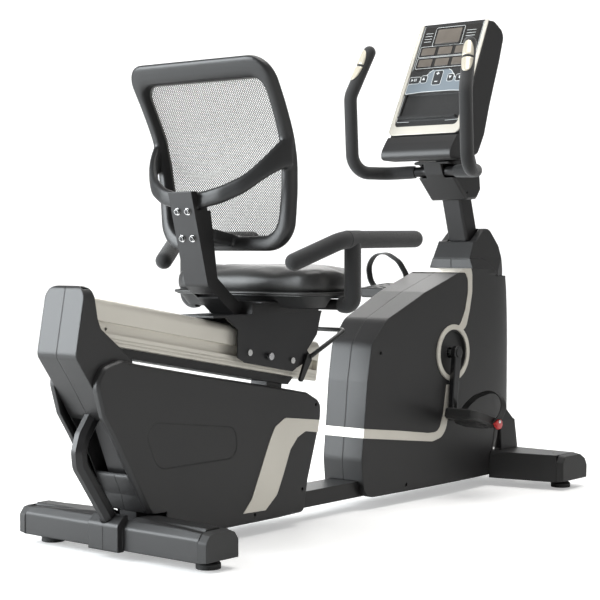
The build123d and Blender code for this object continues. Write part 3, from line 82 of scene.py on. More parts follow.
def tangents(path, closed=False):
    last = len(path) - 1
    found = []
    for i in range(len(path)):
        if closed:
            chord = path[(i + 1) % len(path)] - path[i - 1]
        else:
            chord = path[min(i + 1, last)] - path[max(i - 1, 0)]
        found.append(chord.normalized())
    return found


def fillet_path(corners, radius, step=0.004):
    """Open polyline with its corners rounded and its straights divided."""
    rounded = [corners[0]]
    for before, corner, after in zip(corners, corners[1:], corners[2:]):
        u, w = (before - corner).normalized(), (after - corner).normalized()
        half = 0.5 * u.angle(w)
        setback = min(
            radius / math.tan(half),
            0.48 * (before - corner).length,
            0.48 * (after - corner).length,
        )
        r = setback * math.tan(half)
        centre = corner + (u + w).normalized() * (r / math.sin(half))
        start, end = corner + u * setback - centre, corner + w * setback - centre
        sweep = start.angle(end)
        count = max(3, int(sweep * r / step))
        axis = start.cross(end).normalized()
        for j in range(count + 1):
            rounded.append(centre + Matrix.Rotation(sweep * j / count, 3, axis) @ start)
    rounded.append(corners[-1])

    path = [rounded[0]]
    for point in rounded[1:]:
        last = path[-1]
        gap = (point - last).length
        if gap > 2.5 * step:
            count = int(gap / (2 * step))
            for j in range(1, count + 1):
                path.append(last.lerp(point, j / (count + 1)))
        if gap > 1e-6:
            path.append(point)
    return path


def cut_path(path, length):
    """Path with its first stretch removed."""
    for i in range(len(path) - 1):
        gap = (path[i + 1] - path[i]).length
        if length < gap:
            return [path[i].lerp(path[i + 1], length / gap)] + path[i + 1:]
        length -= gap
    return path


# ------------------------------------------------------------------ flat outlines
def outline(corners, step):
    """Closed (u, v) outline from rows of u, v, corner radius."""
    points = []
    for i, (u, v, radius) in enumerate(corners):
        corner = Vector((u, v))
        before = Vector(corners[i - 1][:2])
        after = Vector(corners[(i + 1) % len(corners)][:2])
        to_before, to_after = (before - corner).normalized(), (after - corner).normalized()
        half = 0.5 * math.acos(max(-1, min(1, to_before.dot(to_after))))
        if half > 1.56:  # nearly straight, stays a point
            points.append((corner.x, corner.y))
            continue
        setback = min(
            radius / math.tan(half),
            0.49 * (before - corner).length,
            0.49 * (after - corner).length,
        )
        r = setback * math.tan(half)
        centre = corner + (to_before + to_after).normalized() * (r / math.sin(half))
        start = (corner + to_before * setback) - centre
        end = (corner + to_after * setback) - centre
        angle = math.atan2(start.y, start.x)
        sweep = (math.atan2(end.y, end.x) - angle + math.pi) % (2 * math.pi) - math.pi
        count = max(3, int(abs(sweep) * r / step))
        for j in range(count + 1):
            turn = angle + sweep * j / count
            points.append((centre.x + r * math.cos(turn), centre.y + r * math.sin(turn)))
    return points


def rounded_box(u, v, width, height, radius):
    left, right = u - width / 2, u + width / 2
    low, high = v - height / 2, v + height / 2
    corners = [(left, low), (right, low), (right, high), (left, high)]
    return outline([(*corner, radius) for corner in corners], 1.5)


def disc(radius, count, ripple=0.0):
    """Circle of points, with eight shallow lobes if rippled."""
    points = []
    for turn in np.linspace(0, 2 * math.pi, count, endpoint=False):
        r = radius * (1 + ripple * math.cos(8 * turn))
        points.append((math.cos(turn) * r, math.sin(turn) * r))
    return points


def doubled_area(points):
    """Twice the area, positive when the outline runs anticlockwise."""
    return sum(
        points[i - 1][0] * points[i][1] - points[i][0] * points[i - 1][1]
        for i in range(len(points))
    )


def inset_outline(points, inset):
    sign = 1 if doubled_area(points) > 0 else -1
    along = tangents([Vector(point) for point in points], closed=True)
    return [
        (x - sign * t.y * inset, y + sign * t.x * inset)
        for (x, y), t in zip(points, along)
    ]


def superellipse(angle, power):
    """Point of a unit circle, squarer as the power falls below one."""
    return tuple(
        math.copysign(abs(value) ** power, value) if abs(value) > 1e-6 else 0.0
        for value in (math.cos(angle), math.sin(angle))
    )


# ------------------------------------------------------------------ objects
def link_object(name, mesh):
    ob = bpy.data.objects.new(name, mesh)
    bpy.context.collection.objects.link(ob)
    return ob


def bmesh_object(name, bm):
    mesh = bpy.data.meshes.new(name)
    bm.to_mesh(mesh)
    bm.free()
    return link_object(name, mesh)


def shade_smooth(ob):
    for polygon in ob.data.polygons:
        polygon.use_smooth = True


def smooth_by_angle(ob, degrees):
    """Smooth shading with hard edges kept above the angle."""
    bm = bmesh.new()
    bm.from_mesh(ob.data)
    for edge in bm.edges:
        edge.smooth = (
            len(edge.link_faces) != 2 or edge.calc_face_angle(0.0) < math.radians(degrees)
        )
    for face in bm.faces:
        face.smooth = True
    bm.to_mesh(ob.data)
    bm.free()
    return ob


def mesh_object(name, verts, faces):
    mesh = bpy.data.meshes.new(name)
    mesh.from_pydata([tuple(v) for v in verts], [], faces)
    mesh.update()
    ob = link_object(name, mesh)
    bm = bmesh.new()
    bm.from_mesh(mesh)
    bmesh.ops.remove_doubles(bm, verts=bm.verts, dist=1e-6)
    bmesh.ops.recalc_face_normals(bm, faces=bm.faces)
    bm.to_mesh(mesh)
    bm.free()
    shade_smooth(ob)
    return ob


def loft(name, rings, closed=False, flip_caps=False):
    """Skin over rings of equal count; an open one is capped at both ends."""
    count = len(rings[0])
    faces = []
    for i in range(len(rings) if closed else len(rings) - 1):
        here, there = i * count, (i + 1) % len(rings) * count
        for j in range(count):
            k = (j + 1) % count
            faces.append((here + j, here + k, there + k, there + j))
    if not closed:
        first = list(range(count))
        last = [(len(rings) - 1) * count + j for j in range(count)]
        faces.append(first if flip_caps else first[::-1])
        faces.append(last[::-1] if flip_caps else last)
    return mesh_object(name, [v for ring in rings for v in ring], faces)


def dome(section, sign, steps):
    """Rows of a round cap; step 0 is the bar's end and step 6 the tip."""
    point, across, binormal, radius, tangent = section
    rows = []
    for k in steps:
        turn = math.pi / 2 * k / 6
        tip = point + tangent * (sign * radius) * math.sin(turn)
        rows.append((tip, across, binormal, max(radius * math.cos(turn), radius * 0.02)))
    return rows


def tube(name, path, radii, sides, caps=("round", "round"), closed=False, up=None):
    """Bar along a path: one radius or one per point, caps round or flat."""
    if not isinstance(radii, list):
        radii = [radii] * len(path)
    along = tangents(path, closed)
    if up is None:
        up = (0, 0, 1) if abs(along[0].z) < 0.9 else (1, 0, 0)
    up = Vector(up)
    across = (up - along[0] * up.dot(along[0])).normalized()
    sections = []
    for point, tangent, radius in zip(path, along, radii):
        across = (across - tangent * across.dot(tangent)).normalized()
        sections.append((point, across, tangent.cross(across), radius, tangent))
    rows = [section[:4] for section in sections]
    if not closed and caps[0] == "round":
        rows = dome(sections[0], -1, range(6, 0, -1)) + rows
    if not closed and caps[1] == "round":
        rows += dome(sections[-1], 1, range(1, 7))
    turns = [2 * math.pi * j / sides for j in range(sides)]
    rings = [
        [p + a * (r * math.cos(turn)) + b * (r * math.sin(turn)) for turn in turns]
        for p, a, b, r in rows
    ]
    return smooth_by_angle(loft(name, rings, closed), 50)


def strip(name, path, widths, thick, side_dirs, closed=False, edge=0.3):
    """Flat band: width along side_dirs, rounded edges. Widths and dirs are single or lists."""
    if not isinstance(widths, list):
        widths = [widths] * len(path)
    if not isinstance(side_dirs, list):
        side_dirs = [side_dirs] * len(path)
    angles = (-150, -120, -90, -60, -30, 30, 60, 90, 120, 150)
    profile = [superellipse(math.radians(angle), edge) for angle in angles]
    rings = []
    for point, t, side, width in zip(path, tangents(path, closed), side_dirs, widths):
        side = (side - t * side.dot(t)).normalized()
        normal = t.cross(side)
        rings.append([
            point + side * (a * width / 2) + normal * (b * thick / 2) for a, b in profile
        ])
    return smooth_by_angle(loft(name, rings, closed), 40)


def plate(name, points, place, low, high, bevel=0.0):
    """Solid from an outline extruded between two heights, through place(u, v, w)."""
    if doubled_area(points) < 0:
        points = list(reversed(points))
    levels = [(low, 0.0), (high, 0.0)]  # height, inset
    if bevel:
        levels[1:] = [(high - bevel, 0.0), (high - 0.3 * bevel, 0.3 * bevel), (high, bevel)]
    bm = bmesh.new()
    rows = [
        [bm.verts.new(place(u, v, height)) for u, v in inset_outline(points, inset)]
        for height, inset in levels
    ]
    for lower, upper in zip(rows, rows[1:]):
        for i in range(len(points)):
            bm.faces.new((lower[i - 1], lower[i], upper[i], upper[i - 1]))
    bm.faces.new(list(reversed(rows[0])))
    bm.faces.new(rows[-1])
    bmesh.ops.recalc_face_normals(bm, faces=bm.faces)
    return smooth_by_angle(bmesh_object(name, bm), 30)


def join(name, parts):
    """One object from several; the parts are removed."""
    bm = bmesh.new()
    for part in parts:
        bm.from_mesh(part.data)
    for part in parts:
        mesh = part.data
        bpy.data.objects.remove(part)
        bpy.data.meshes.remove(mesh)
    return bmesh_object(name, bm)


def apply_modifiers(ob):
    depsgraph = bpy.context.evaluated_depsgraph_get()
    mesh = bpy.data.meshes.new_from_object(ob.evaluated_get(depsgraph))
    old = ob.data
    ob.modifiers.clear()
    ob.data = mesh
    bpy.data.meshes.remove(old)


def add_smoothing(ob, factor, iterations):
    soften = ob.modifiers.new("soft", "SMOOTH")
    soften.factor = factor
    soften.iterations = iterations


def remesh(ob, voxel, factor, iterations):
    """Fuse into one even skin and soften it."""
    skin = ob.modifiers.new("voxel", "REMESH")
    skin.mode = "VOXEL"
    skin.voxel_size = voxel
    add_smoothing(ob, factor, iterations)
    apply_modifiers(ob)
    shade_smooth(ob)


# ------------------------------------------------------------------ materials
ROUGH_DRIFT = 0.08  # roughness varies this far either way with the grain


def material(
    name, color, rough=0.5, metal=0.0, vary=0.08, vary_scale=6.0, grain=900.0, cells=False,
    stretch=None, bump=0.15, bump_dist=0.0004, bevel=0.0012, spec=0.5, coat=0.0, sheen=0.0,
):
    """Slow colour drift (vary), fine grain in roughness and bump, and shaded bevels.

    grain is the fine texture's scale, cells makes it Voronoi, stretch scales its axes.
    """
    made = bpy.data.materials.new(name)
    made.use_nodes = True
    tree = made.node_tree
    tree.nodes.clear()
    add, link = tree.nodes.new, tree.links.new
    output = add("ShaderNodeOutputMaterial")
    shader = add("ShaderNodeBsdfPrincipled")
    link(shader.outputs["BSDF"], output.inputs["Surface"])
    coords = add("ShaderNodeTexCoord")
    mapping = add("ShaderNodeMapping")
    link(coords.outputs["Object"], mapping.inputs["Vector"])
    if stretch:
        mapping.inputs["Scale"].default_value = stretch

    drift = add("ShaderNodeTexNoise")
    drift.inputs["Scale"].default_value = vary_scale
    drift.inputs["Detail"].default_value = 5
    link(coords.outputs["Object"], drift.inputs["Vector"])
    ramp = add("ShaderNodeValToRGB")
    for stop, position, gain in zip(ramp.color_ramp.elements, (0.3, 0.7), (1 - vary, 1 + vary)):
        stop.position = position
        stop.color = (*(Vector(color) * gain), 1)
    link(drift.outputs["Fac"], ramp.inputs["Fac"])
    link(ramp.outputs["Color"], shader.inputs["Base Color"])

    if cells:
        fine = add("ShaderNodeTexVoronoi")
        height = fine.outputs["Distance"]
    else:
        fine = add("ShaderNodeTexNoise")
        fine.inputs["Detail"].default_value = 3
        height = fine.outputs["Fac"]
    fine.inputs["Scale"].default_value = grain
    link(mapping.outputs["Vector"], fine.inputs["Vector"])
    gloss = add("ShaderNodeMapRange")
    gloss.inputs["To Min"].default_value = max(0.02, rough - ROUGH_DRIFT)
    gloss.inputs["To Max"].default_value = min(1.0, rough + ROUGH_DRIFT)
    link(height, gloss.inputs["Value"])
    link(gloss.outputs["Result"], shader.inputs["Roughness"])
    relief = add("ShaderNodeBump")
    relief.inputs["Strength"].default_value = bump
    relief.inputs["Distance"].default_value = bump_dist
    link(height, relief.inputs["Height"])
    if bevel:
        rounding = add("ShaderNodeBevel")
        rounding.samples = 4
        rounding.inputs["Radius"].default_value = bevel
        link(rounding.outputs["Normal"], relief.inputs["Normal"])
    link(relief.outputs["Normal"], shader.inputs["Normal"])
    shader.inputs["Metallic"].default_value = metal
    shader.inputs["Specular IOR Level"].default_value = spec
    shader.inputs["Coat Weight"].default_value = coat
    shader.inputs["Sheen Weight"].default_value = sheen
    return made


LOOKS = {
    # painted steel and dark plastics
    "frame_steel": dict(
        color=(0.017, 0.0165, 0.017), rough=0.38, metal=0.25, grain=1400, bump=0.12),
    "carriage_steel": dict(
        color=(0.020, 0.020, 0.021), rough=0.35, metal=0.3, grain=1400, bump=0.12),
    "lever_steel": dict(color=(0.02, 0.02, 0.02), rough=0.35, metal=0.2, grain=1400),
    "charcoal_plastic": dict(
        color=(0.0155, 0.0152, 0.0155), rough=0.44, vary=0.07, grain=1600, bump=0.2,
        bevel=0.0045, spec=0.48),
    "cap_rubber": dict(
        color=(0.022, 0.022, 0.022), rough=0.55, grain=1500, bump=0.2, bevel=0.003),
    # pale trim and rail
    "champagne_trim": dict(
        color=(0.66, 0.63, 0.56), rough=0.34, metal=0.35, vary=0.03, grain=2600, bump=0.05,
        coat=0.3),
    "rail_aluminium": dict(
        color=(0.70, 0.67, 0.60), rough=0.36, metal=0.45, vary=0.04, grain=500, bump=0.10,
        bump_dist=0.0002, stretch=(0.02, 1, 1)),
    # grips
    "foam_grip": dict(
        color=(0.014, 0.014, 0.0145), rough=0.80, grain=2200, cells=True, bump=0.5,
        bump_dist=0.0005, bevel=0, sheen=0.25),
    "pulse_plate": dict(
        color=(0.66, 0.61, 0.50), rough=0.30, metal=0.35, vary=0.03, grain=1200, bump=0.05,
        coat=0.4),
    # console
    "console_panel": dict(
        color=(0.028, 0.028, 0.028), rough=0.28, grain=1800, bump=0.08, bevel=0.0006,
        coat=0.15),
    "display_window": dict(
        color=(0.020, 0.019, 0.018), rough=0.12, vary=0.15, grain=60, bump=0.02, bevel=0,
        coat=0.7),
    "circuit_board": dict(
        color=(0.02, 0.10, 0.04), rough=0.4, vary=0.25, grain=300, bevel=0),
    "key_caps": dict(color=(0.018, 0.019, 0.021), grain=1500, bevel=0.0006),
    # drive and pedals
    "bearing_steel": dict(
        color=(0.55, 0.55, 0.56), rough=0.28, metal=1.0, vary=0.05, grain=700, bump=0.06,
        stretch=(1, 0.05, 1)),
    "bolt_steel": dict(
        color=(0.70, 0.70, 0.69), rough=0.2, metal=1.0, vary=0.04, bump=0.05, bevel=0.0005),
    "crank_steel": dict(
        color=(0.018, 0.018, 0.019), rough=0.25, metal=0.4, bump=0.06, bevel=0.0015,
        coat=0.3),
    "pulley_plastic": dict(color=(0.05, 0.05, 0.05)),
    "belt_rubber": dict(
        color=(0.015, 0.015, 0.015), rough=0.7, grain=400, bump=0.4,
        stretch=(0.05, 1, 0.05), bevel=0),
    "pedal_plastic": dict(color=(0.017, 0.017, 0.017), grain=1300, bump=0.3, bevel=0.0015),
    "strap_rubber": dict(
        color=(0.014, 0.014, 0.014), rough=0.42, grain=1100, bump=0.25, bevel=0.0006),
    "flywheel_iron": dict(
        color=(0.22, 0.22, 0.22), rough=0.4, metal=1.0, vary=0.12, grain=300, bump=0.2),
    # rollers, wheels and feet
    "roller_plastic": dict(color=(0.45, 0.44, 0.42), rough=0.45),
    "wheel_rubber": dict(color=(0.03, 0.03, 0.03), rough=0.65, bump=0.3),
    "foot_rubber": dict(
        color=(0.02, 0.02, 0.02), rough=0.6, grain=1000, bump=0.3, bevel=0.0015),
    # seat and back rest
    "seat_shell": dict(color=(0.018, 0.018, 0.018), grain=1300, bump=0.25),
    "seat_cover": dict(
        color=(0.019, 0.0185, 0.018), rough=0.42, vary=0.10, vary_scale=14, grain=420,
        cells=True, bump=0.32, bump_dist=0.0006, bevel=0, sheen=0.1),
    "back_plastic": dict(
        color=(0.0135, 0.0135, 0.014), rough=0.40, grain=1500, bump=0.2, bevel=0.002),
    "mesh_fabric": dict(
        color=(0.12, 0.115, 0.11), rough=0.75, vary=0.12, vary_scale=40, grain=1800,
        bump=0.3, bevel=0, sheen=0.2),
    # small parts and prints
    "red_button": dict(
        color=(0.55, 0.03, 0.03), rough=0.35, bump=0.08, bevel=0.001, coat=0.3),
    "white_print": dict(
        color=(0.62, 0.64, 0.64), rough=0.45, vary=0.03, grain=1500, bump=0.05, bevel=0),
    "grey_print": dict(
        color=(0.16, 0.19, 0.215), rough=0.42, vary=0.05, grain=1500, bump=0.05, bevel=0),
    "lcd_brown": dict(
        color=(0.125, 0.108, 0.092), rough=0.2, vary_scale=30, bump=0.02, bevel=0,
        coat=0.5),
    "screw_dark": dict(
        color=(0.04, 0.04, 0.042), rough=0.35, metal=0.8, grain=1200, bump=0.1,
        bevel=0.0004),
}
MATERIALS = {name: material(name, **look) for name, look in LOOKS.items()}


def dress(ob, slot):
    ob.data.materials.clear()
    ob.data.materials.append(MATERIALS[slot])


def fit(ob, slot, body, replaced=None):
    """Dress a new piece, tie it to a body and hide the CAD piece it stands in for."""
    dress(ob, slot)
    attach(ob, body)
    if replaced:
        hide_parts(replaced)


def dress_frame():
    slots = {part["node"]: part["material_slot"] for part in frame["record"]["subparts"]}
    for node, ob in frame["nodes"].items():
        dress(ob, slots[node])


# ------------------------------------------------------------------ handlebar grips
# corners of the left half's centre line: x, y, z
HANDLEBAR = [
    (534, 0, 881), (534, 40, 881), (505, 150, 877),
    (397, 189, 878), (386.5, 190, 1086), (442, 166.5, 1211),
]
HANDLEBAR_BEND = 0.055
GRIP_START = 0.0705  # bare bar from the middle, along the path
GRIP_RADIUS = 0.0179
GRIP_END_RADII = [0.0172, 0.0177]


def handlebar_corners(sign):
    return [mm(x, sign * y, z) for x, y, z in HANDLEBAR]


def handlebar_grip(sign, side):
    path = cut_path(fillet_path(handlebar_corners(sign), HANDLEBAR_BEND), GRIP_START)
    radii = GRIP_END_RADII + [GRIP_RADIUS] * (len(path) - 2)
    grip = tube(f"handlebar_foam_{side}", path, radii, 36, caps=("flat", "round"))
    fit(grip, "foam_grip", ROOT, "handlebar_grips")


# ------------------------------------------------------------------ armrest foam
ARM_Y = 262
STEM_X = -187
STEM_FOOT_Z = 540
STEM_FOOT_Y = 222
SLEEVE_END_Y = 0.2262  # the stem's sleeve ends partway round its lower bend
ARM_RADIUS = 0.0205
STEM_RADIUS = 0.0197
STEM_END_RADII = [0.0193, 0.0187, 0.0175]
COLLAR_RADIUS = 0.0212
COLLAR_HALF = 24


def armrest_foam():
    flat = ("flat", "flat")
    parts = []
    for sign, _ in SIDES:
        y = sign * ARM_Y
        arm = fillet_path([mm(-331, sign * 205.5, 640.5), mm(-226, y, 691), mm(58, y, 693)], 0.07)
        parts.append(tube("arm", arm, ARM_RADIUS, 36))
        corners = [
            mm(STEM_X, y, 690), mm(STEM_X, y, STEM_FOOT_Z),
            mm(STEM_X, sign * STEM_FOOT_Y, STEM_FOOT_Z),
        ]
        stem = [p for p in fillet_path(corners, 0.044, 0.003) if abs(p.y) > SLEEVE_END_Y]
        radii = [STEM_RADIUS] * (len(stem) - 3) + STEM_END_RADII
        parts.append(tube("stem", stem, radii, 32, caps=flat))
        # collar where the sleeves meet
        collar = [mm(STEM_X - COLLAR_HALF, y, 691.2), mm(STEM_X + COLLAR_HALF, y, 691.6)]
        parts.append(tube("collar", collar, COLLAR_RADIUS, 36, caps=flat))
    fit(join("armrest_foam", parts), "foam_grip", "seat", "armrest_grips")


# ------------------------------------------------------------------ seat cushion
SEAT_HALF = 233
# x, y, corner radius
SEAT_OUTLINE = [
    (-293, -SEAT_HALF, 60), (-180, -SEAT_HALF, 80), (-90, -SEAT_HALF + 22, 90), (-8, -110, 90),
    (-8, 110, 90), (-90, SEAT_HALF - 22, 90), (-180, SEAT_HALF, 80), (-293, SEAT_HALF, 60),
]
SEAT_BASE_Z = 566
SEAT_TOP_Z = 624
SEAT_LIMIT_Z = 0.6365  # metres
# cloth inflation, in metres and frames
HELD_BELOW_Z = 0.572
INFLATE_FRAMES = 18
INFLATE_LIMIT = 0.009


def inflate(ob):
    """Cloth under inner pressure, its base held and its movement limited."""
    before = [v.co.copy() for v in ob.data.vertices]
    held = ob.vertex_groups.new(name="held")
    held.add([i for i, co in enumerate(before) if co.z < HELD_BELOW_Z], 1.0, "REPLACE")
    cloth = ob.modifiers.new("cloth", "CLOTH")
    settings = cloth.settings
    settings.quality = 6
    settings.mass = 0.25
    settings.tension_stiffness = 30
    settings.compression_stiffness = 30
    settings.shear_stiffness = 12
    settings.bending_stiffness = 10
    settings.use_pressure = True
    settings.uniform_pressure_force = 2.2
    settings.effector_weights.gravity = 0
    settings.vertex_group_mass = "held"
    cloth.point_cache.frame_start = 1
    cloth.point_cache.frame_end = INFLATE_FRAMES
    scene = bpy.context.scene
    for number in range(1, INFLATE_FRAMES + 1):
        scene.frame_set(number)
    apply_modifiers(ob)
    scene.frame_set(1)
    for v, start in zip(ob.data.vertices, before):
        move = v.co - start
        if move.length > INFLATE_LIMIT:
            v.co = start + move * (INFLATE_LIMIT / move.length)


def hollow_seat(ob):
    """Two shallow hollows in the top, one on each side."""
    for v in ob.data.vertices:
        x, y, z = (value / MM for value in v.co)
        if z > 595:
            fade = min(1.0, (z - 595) / 20)
            dish = math.exp(-(((x + 165) / 85) ** 2) - ((abs(y) - 95) / 75) ** 2)
            v.co.z -= 0.0045 * fade * dish


def crease_seat(ob):
    """Soft waves in the cover, strongest 0.17 m out to each side, under a flat limit."""
    for v in ob.data.vertices:
        x, out = v.co.x, abs(v.co.y)
        if v.co.z > 0.585:
            fade = math.exp(-((out - 0.17) / 0.06) ** 2)
            v.co.z += 0.0007 * math.sin(x * 95 + out * 60) * fade
        v.co.z = min(v.co.z, SEAT_LIMIT_Z)


def seat_cushion():
    rim = outline(SEAT_OUTLINE, 6)
    padding = plate(
        "seat_padding", inset_outline(rim, 4), mm, SEAT_BASE_Z, SEAT_TOP_Z, bevel=20)
    remesh(padding, voxel=0.0065, factor=0.6, iterations=14)
    hollow_seat(padding)
    inflate(padding)
    add_smoothing(padding, factor=0.5, iterations=14)
    apply_modifiers(padding)
    finer = padding.modifiers.new("finer", "SUBSURF")
    finer.levels = finer.render_levels = 1
    apply_modifiers(padding)
    crease_seat(padding)
    seam = [mm(x, y, SEAT_BASE_Z + 0.5) for x, y in inset_outline(rim, -0.5)]
    piping = tube("seat_piping", seam, 0.0036, 10, closed=True, up=(0, 0, 1))
    skirt = plate("seat_skirt", inset_outline(rim, 3), mm, 560.5, SEAT_BASE_Z, bevel=2)
    cushion = join("seat_cushion_padded", [padding, piping, skirt])
    fit(cushion, "seat_cover", "seat", "seat_cushion")


# ------------------------------------------------------------------ back rest
# front face of the back rest: z, x
BACK_FACE = np.array([
    (655, -318), (700, -312), (795, -311), (870, -315), (930, -331),
    (1000, -364), (1055, -395), (1107, -425), (1120, -433),
])
# ring outlines: y, z, corner radius
RING_OUTER = [
    (-198, 665, 76), (198, 665, 76), (207, 800, 200), (215, 1000, 200),
    (218, 1100, 62), (-218, 1100, 62), (-215, 1000, 200), (-207, 800, 200),
]
RING_INNER = [
    (-165, 699, 50), (165, 699, 50), (177, 800, 200), (186, 930, 200),
    (191, 1053, 34), (-191, 1053, 34), (-186, 930, 200), (-177, 800, 200),
]
RING_CENTRE_Z = 885.0
RING_SECTIONS = 180
RING_HALF_DEPTH = 18
SECTION_POINTS = 20
# yoke centre line: |y|, x
YOKE_REACH = np.array([
    (0, -458), (46, -457), (90, -449), (137, -429),
    (175, -399), (194, -371), (204, -347), (212, -336),
])
# yoke in elevation: |y|, z, half height
YOKE_RISE = np.array([
    (0, 779, 19), (42, 781, 19), (90, 792, 20), (140, 815, 21),
    (176, 852, 25), (196, 882, 33), (204, 892, 38), (212, 900, 44),
])
YOKE_HALF_SPAN = 208
YOKE_HALF_THICK = 10
# side outlines: x, z
SPINE = [
    (-478, 777), (-481, 796), (-446, 797), (-430, 770), (-412, 712),
    (-346, 700), (-340, 674), (-420, 686), (-454, 686),
]
LOWER_LINK = [(-420, 690), (-330, 674), (-326, 700), (-412, 716)]


def back_x(z):
    """Front face of the back rest at this height, averaged over a short window."""
    window = np.linspace(z - 22, z + 22, 9)
    return float(np.mean(np.interp(window, *BACK_FACE.T)))


def reach(points, turn):
    """Distance from the ring's centre to an outline in this direction."""
    dx, dy = math.cos(turn), math.sin(turn)
    best = None
    for i in range(len(points)):
        (x0, y0), (x1, y1) = points[i - 1], points[i]
        edge_x, edge_y = x1 - x0, y1 - y0
        det = dx * (-edge_y) + edge_x * dy
        if abs(det) < 1e-9:
            continue
        rx, ry = x0, y0 - RING_CENTRE_Z
        distance = (rx * (-edge_y) + edge_x * ry) / det
        share = (dx * ry - dy * rx) / det
        on_edge = distance > 0 and -1e-6 <= share <= 1 + 1e-6
        if on_edge and (best is None or distance > best):
            best = distance
    return best


def back_ring():
    outer, inner = outline(RING_OUTER, 4), outline(RING_INNER, 4)
    sections = []
    for i in range(RING_SECTIONS):
        turn = 2 * math.pi * i / RING_SECTIONS
        far, near = reach(outer, turn), reach(inner, turn)
        section = []
        for j in range(SECTION_POINTS):
            across, forward = superellipse(2 * math.pi * j / SECTION_POINTS, 0.62)
            r = (far + near) / 2 + across * (far - near) / 2
            y, z = r * math.cos(turn), RING_CENTRE_Z + r * math.sin(turn)
            # the inner edge sits 2.5 mm further back than the outer one
            depth = RING_HALF_DEPTH - forward * RING_HALF_DEPTH + 1.25 * (1 - across)
            section.append(mm(back_x(z) - depth, y, z))
        sections.append(section)
    return loft("ring", sections, closed=True)


def back_yoke():
    """Curved bar behind the ring, joining its two sides."""
    y = np.linspace(-YOKE_HALF_SPAN, YOKE_HALF_SPAN, 97)
    out, rise, half_height = YOKE_RISE.T
    stations = np.column_stack([
        np.interp(abs(y), *YOKE_REACH.T),
        y,
        np.interp(abs(y), out, rise),
        np.interp(abs(y), out, half_height),
    ])
    eased = [0, 2, 3]  # all columns but y
    for _ in range(6):
        stations[1:-1, eased] = (
            0.25 * stations[:-2, eased]
            + 0.5 * stations[1:-1, eased]
            + 0.25 * stations[2:, eased]
        )
    sections = []
    for i, (x, y, z, half) in enumerate(stations):
        a, b = stations[max(i - 1, 0)], stations[min(i + 1, len(stations) - 1)]
        t = Vector((b[0] - a[0], b[1] - a[1], 0)).normalized()
        section = []
        for j in range(SECTION_POINTS):
            across, up = superellipse(2 * math.pi * j / SECTION_POINTS, 0.6)
            offset = YOKE_HALF_THICK * across
            section.append(mm(x - t.y * offset, y + t.x * offset, z + half * up))
        sections.append(section)
    return loft("yoke", sections, flip_caps=True)


def clear_channel(ob):
    """Keep the lower middle inside the steel channel."""
    for v in ob.data.vertices:
        x, y, z = (value / MM for value in v.co)
        if abs(y) >= 37:
            continue
        if (z < 802 and x < -469.5) or (z < 758 and x < -405):
            v.co.y = max(-0.0315, min(0.0315, v.co.y))
        if z < 802:
            v.co.x = max(v.co.x, (-479.4 - (z - 776) * 0.2618) * MM)


def back_frame():
    parts = [
        back_ring(),
        back_yoke(),
        plate("spine", SPINE, mm_upright, -31, 31),
        plate("lower_link", LOWER_LINK, mm_upright, -40, 40),
    ]
    back = join("back_rest_frame", parts)
    remesh(back, voxel=0.0032, factor=0.55, iterations=5)
    clear_channel(back)
    fit(back, "back_plastic", "seat", "back_frame")


# ------------------------------------------------------------------ back net
NET_PITCH = 4.7
NET_REACH = 90  # cells tried each way from the centre
NET_SETBACK = 9  # behind the ring's front face
NET_BELLY = 5.0
HEM_SETBACK = 8.5


def inside(points, x, y):
    hit = False
    for i, (x1, y1) in enumerate(points):
        x0, y0 = points[i - 1]
        if (y1 > y) != (y0 > y) and x < (x0 - x1) * (y - y1) / (y0 - y1) + x1:
            hit = not hit
    return hit


def net_place(i, j):
    """y and z of a knot of the diamond net."""
    y = (i - j) * NET_PITCH / math.sqrt(2)
    return y, RING_CENTRE_Z + (i + j) * NET_PITCH / math.sqrt(2)


def back_net():
    opening = outline(RING_INNER, 4)
    limit = inset_outline(opening, -7)
    bm = bmesh.new()
    knots = {}

    def covered(i, j):
        y, z = net_place(i, j)
        return abs(y) <= 205 and 685 < z < 1075 and inside(limit, y, z)

    def knot(i, j):
        if (i, j) not in knots:
            y, z = net_place(i, j)
            sag = max(0.0, 1 - (y / 175) ** 2) * max(0.0, 1 - ((z - 880) / 180) ** 2)
            x = back_x(z) - NET_SETBACK - NET_BELLY * sag
            knots[(i, j)] = bm.verts.new(mm(x, y, z))
        return knots[(i, j)]

    for i in range(-NET_REACH, NET_REACH):
        for j in range(-NET_REACH, NET_REACH):
            cell = ((i, j), (i + 1, j), (i + 1, j + 1), (i, j + 1))
            if all(covered(*corner) for corner in cell):
                bm.faces.new([knot(*corner) for corner in cell])
    net = bmesh_object("back_net", bm)
    strands = net.modifiers.new("strands", "WIREFRAME")
    strands.thickness = 0.0024
    strands.use_even_offset = False
    strands.use_boundary = True
    strands.offset = 0.0
    apply_modifiers(net)
    shade_smooth(net)
    # hem round the net's edge
    edge = [mm(back_x(z) - HEM_SETBACK, y, z) for y, z in inset_outline(opening, -1.5)]
    hem = tube("hem", edge, 0.0032, 8, closed=True, up=(1, 0, 0))
    fit(join("back_net_panel", [net, hem]), "mesh_fabric", "seat", "back_mesh")


# ------------------------------------------------------------------ pedal straps
CRANK_X, CRANK_Z, CRANK_RADIUS = 497.0, 385.0, 170.0
CRANK_LEAN = math.radians(7)
PEDAL_TILT = {-1: math.radians(16), 1: math.radians(-5)}
# strap line over each pedal: distance out from the middle plane, height over the pedal axle
STRAP_LINE = {
    -1: [(106.5, 12), (113, 32), (140, 60), (180, 77), (214, 72), (234, 44), (229, 12),
         (211.5, -9)],
    1: [(106.5, 12), (109, 40), (132, 76), (172, 99), (214, 96), (240, 62), (236, 20),
        (211.5, -9)],
}
STRAP_LOOP = [(105.5, 14), (105.8, 4), (106.3, -8)]  # same columns, at the inner end
STRAP_FORWARD = 24.5
STRAP_RIBS = (-8, -3, 3, 8)
